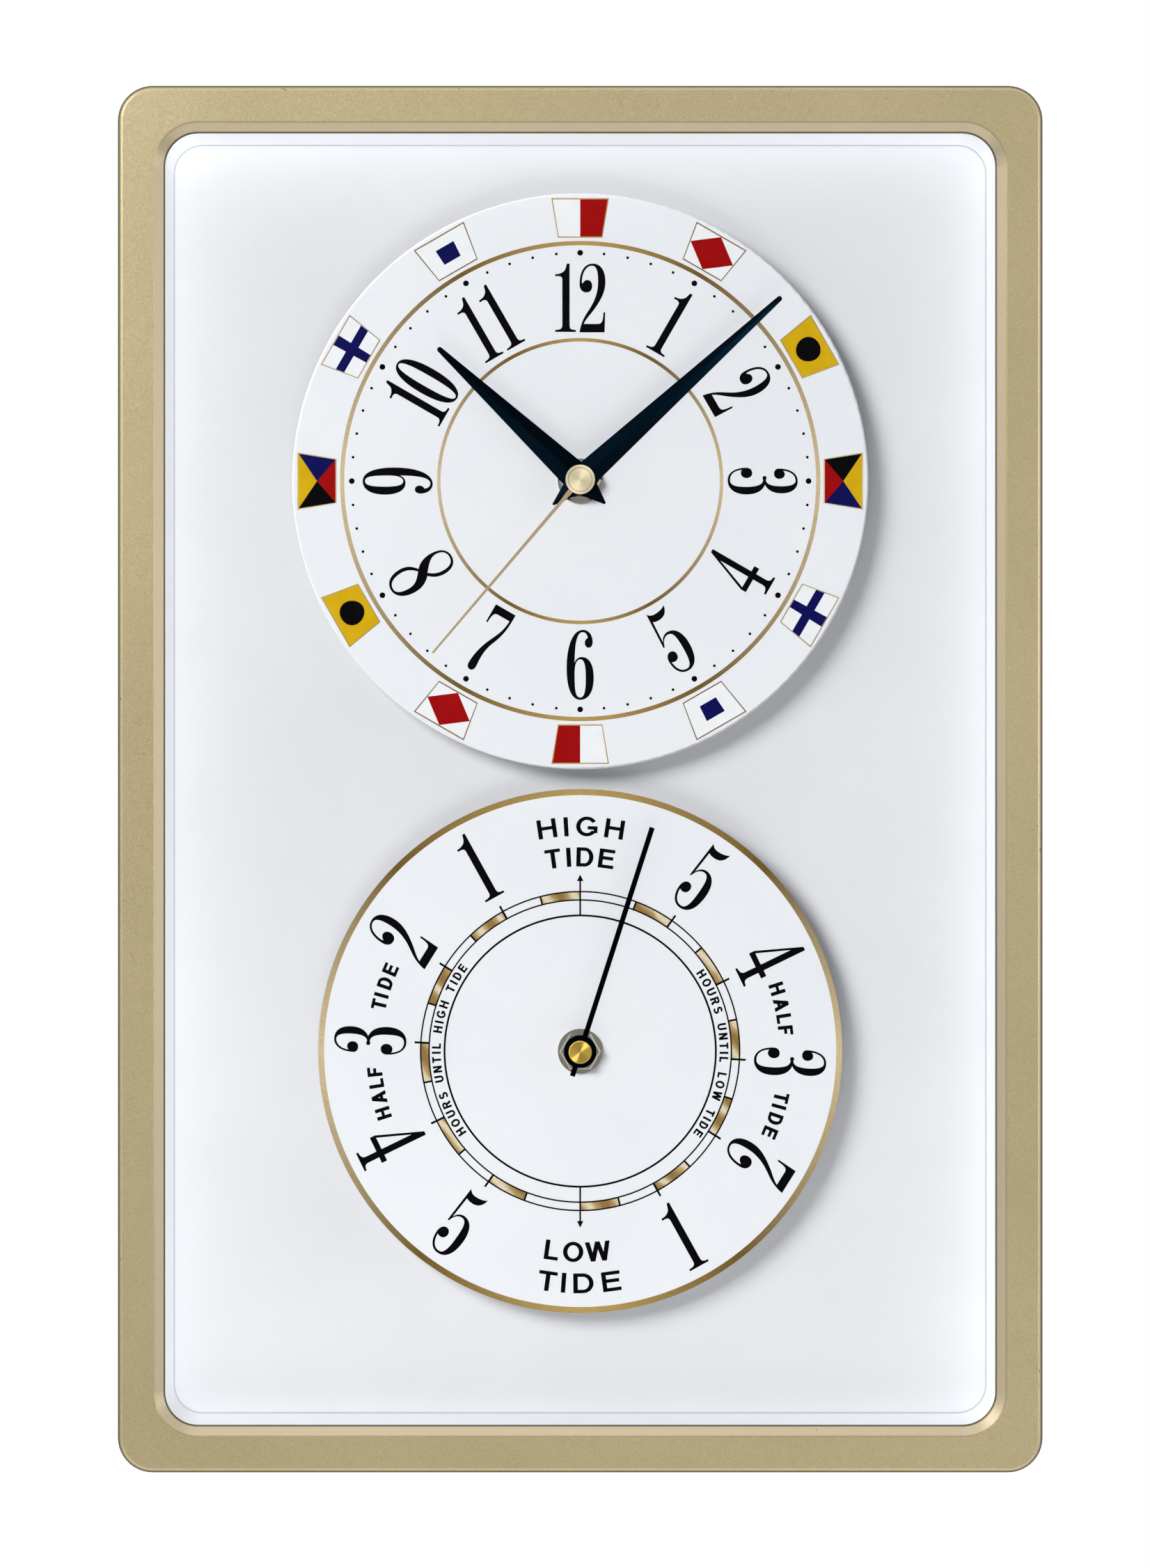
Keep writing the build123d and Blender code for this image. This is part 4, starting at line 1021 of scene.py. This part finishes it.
for prefix in ("clock_", "tide_"):
    cover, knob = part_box(prefix + "movement_cover"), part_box(prefix + "setting_knob")
    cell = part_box(prefix + "battery")
    cover_back = -cover[1][1] / MM
    knob_x, knob_z = ((knob[0][k] + knob[1][k]) / 2 / MM for k in (0, 2))
    name = prefix + "moulded_marks"
    marks = Print(name, lid_black, "black_plastic", 0.0, INK_SINK, -MARK_RAISE, cover_back)
    for start, end in ARROW_TURNS:
        ring = arc_loop(knob_x, knob_z, ARROW_OUTER, ARROW_INNER, start, end)
        tip = math.radians(end)
        out, along = (math.cos(tip), math.sin(tip)), (-math.sin(tip), math.cos(tip))
        head = []
        for far, ahead in ARROW_HEAD:
            x = knob_x + out[0] * far + along[0] * ahead
            z = knob_z + out[1] * far + along[1] * ahead
            head.append((x, z))
        marks.area([ring, head])
    z = cover[0][2] / MM + SIGN_UP
    for x, upright in ((cell[0][0] / MM + SIGN_IN, False), (cell[1][0] / MM - SIGN_IN, True)):
        bars = [box_loop(x - SIGN_LONG, z - SIGN_HALF, x + SIGN_LONG, z + SIGN_HALF)]
        if upright:
            bars.append(box_loop(x - SIGN_HALF, z - SIGN_LONG, x + SIGN_HALF, z + SIGN_LONG))
        marks.area(bars)
    marks.make()


# Floor, in metres: it fades out towards its edge

FLOOR_RADIUS, FLOOR_HEIGHT = 1.3, -0.46
FADE_START, FADE_END = 0.45, 1.25

bpy.ops.mesh.primitive_circle_add(
    vertices=128, radius=FLOOR_RADIUS, fill_type="NGON", location=(0, 0, FLOOR_HEIGHT))
floor = bpy.context.object
floor.name = "floor"
sheet = Paint("pale_floor", Roughness=0.8)
sheet.colour(sheet.mix(sheet.noise(240.0), linear((246, 246, 246)), linear((250, 250, 250))))
fade = sheet.span(sheet.vector("LENGTH", sheet.coords)["Value"], 0.0, 1.0, FADE_START, FADE_END)
clear = sheet.add("ShaderNodeBsdfTransparent")
blend = sheet.add("ShaderNodeMixShader", {0: fade, 1: sheet.bsdf.outputs[0], 2: clear.outputs[0]})
sheet.tree.links.new(blend.outputs[0], sheet.output.inputs["Surface"])
floor.data.materials.append(sheet.made)


# Lamps, in metres and watts

def linked(name, members):
    group = bpy.data.collections.new(name)
    for member in members:
        group.objects.link(nodes[member])
    return group


# What casts shadows from a lamp: the frame's lip doesn't darken the tray
OPEN_TO_LIGHT = ("bezel_frame", "dial_tray", "front_glass")
all_shade = linked("all_shade", [name for name in nodes if name not in OPEN_TO_LIGHT])
dials_shade = linked("dials_shade", [name for name in nodes if "_dial" in name or "_nut" in name])
back_shade = linked("back_shade", ["hanger_plate"])

# What a lamp lights
tray_lit = linked("tray_lit", ["dial_tray"])
frame_lit = linked("frame_lit", ["bezel_frame"])
hands_lit = linked("hands_lit", ["hour_hand", "minute_hand"])
not_frame = linked("not_frame", ["bezel_frame"])
not_frame.collection_objects[0].light_linking.link_state = "EXCLUDE"

MIDDLE, LOW_AIM = (0.0, 0.0, 0.0), (0.0, 0.0, -3.2)
LAMPS = (
    ("key", (-2.3, -2.5, 1.45), LOW_AIM, 2.0, 158.0, dials_shade, not_frame),
    ("fill_right", (1.7, -1.3, 0.2), MIDDLE, 1.2, 3.0, all_shade, None),
    ("fill_low", (-0.2, -1.6, -1.5), MIDDLE, 1.2, 3.0, all_shade, not_frame),
    ("tray_base", (-0.1, -1.1, -1.0), MIDDLE, 0.8, 2.8, all_shade, tray_lit),
    ("tray_right", (2.0, -0.12, 0.0), MIDDLE, 0.3, 16.0, back_shade, tray_lit),
    ("tray_low", (0.0, -0.12, -2.0), MIDDLE, 0.3, 17.0, back_shade, tray_lit),
    ("frame_right", (1.3, -1.5, 0.1), MIDDLE, 0.5, 8.5, None, frame_lit),
    ("frame_side", (2.0, -0.45, 0.1), MIDDLE, 0.6, 1.5, None, frame_lit),
    ("frame_top", (0.0, -0.5, 2.0), MIDDLE, 0.6, 1.0, None, frame_lit),
    ("frame_left", (-0.9, -1.0, 0.65), MIDDLE, 0.65, 14.5, None, frame_lit),
    ("hands_left", (-0.6, -1.65, 0.24), MIDDLE, 0.5, 38.0, None, hands_lit),
    ("hands_right", (0.9, -1.45, -0.34), MIDDLE, 0.5, 44.0, None, hands_lit),
    ("rear", (0.6, 1.7, 1.3), MIDDLE, 2.6, 52.0, None, not_frame),
)
for name, place, aim, size, power, shade, lit in LAMPS:
    light = bpy.data.lights.new(name, "AREA")
    light.shape = "DISK"
    light.size = size
    light.energy = power
    lamp = bpy.data.objects.new(name, light)
    lamp.location = place
    lamp.rotation_euler = (Vector(aim) - Vector(place)).to_track_quat("-Z", "Y").to_euler()
    scene.collection.objects.link(lamp)
    lamp.light_linking.blocker_collection = shade
    lamp.light_linking.receiver_collection = lit


# The background is white, and metal sees it behind a studio that is brighter up and to the right

STUDIO_LEVEL, STUDIO_RIGHT, STUDIO_UP = 0.36, 0.05, 0.38
BEHIND_START, BEHIND_END = -0.2, 0.3
BELOW_DIM = 0.5
AMBIENT = 0.09

world = bpy.data.worlds.new("studio")
scene.world = world
world.use_nodes = True
world.node_tree.nodes.clear()
sky = Nodes(world.node_tree)
path = sky.add("ShaderNodeLightPath").outputs
facing = sky.add("ShaderNodeTexCoord").outputs["Generated"]
toward = sky.add("ShaderNodeSeparateXYZ", {0: facing}).outputs
upward = sky.math("MULTIPLY_ADD", toward["Z"], STUDIO_UP, STUDIO_LEVEL)
studio = sky.math("MULTIPLY_ADD", toward["X"], STUDIO_RIGHT, upward)
behind = sky.span(toward["Y"], 0.0, 1.0, BEHIND_START, BEHIND_END)
below = sky.math("MULTIPLY_ADD", sky.math("MINIMUM", toward["Z"], 0.0), BELOW_DIM, 1.0)
background = sky.math("MULTIPLY", behind, below)
glossy = sky.math("MULTIPLY_ADD", studio, sky.math("SUBTRACT", 1.0, behind), background)
white = sky.math("MAXIMUM", path["Is Camera Ray"], path["Is Transmission Ray"])
level = sky.math("ADD", white, sky.math("MULTIPLY", path["Is Glossy Ray"], glossy))
other = sky.math("SUBTRACT", 1.0, sky.math("MAXIMUM", white, path["Is Glossy Ray"]))
strength = sky.math("MULTIPLY_ADD", other, AMBIENT, level)
shader = sky.add("ShaderNodeBackground", {"Color": (1.0, 1.0, 1.0, 1.0), "Strength": strength})
sky.add("ShaderNodeOutputWorld", {"Surface": shader.outputs[0]})
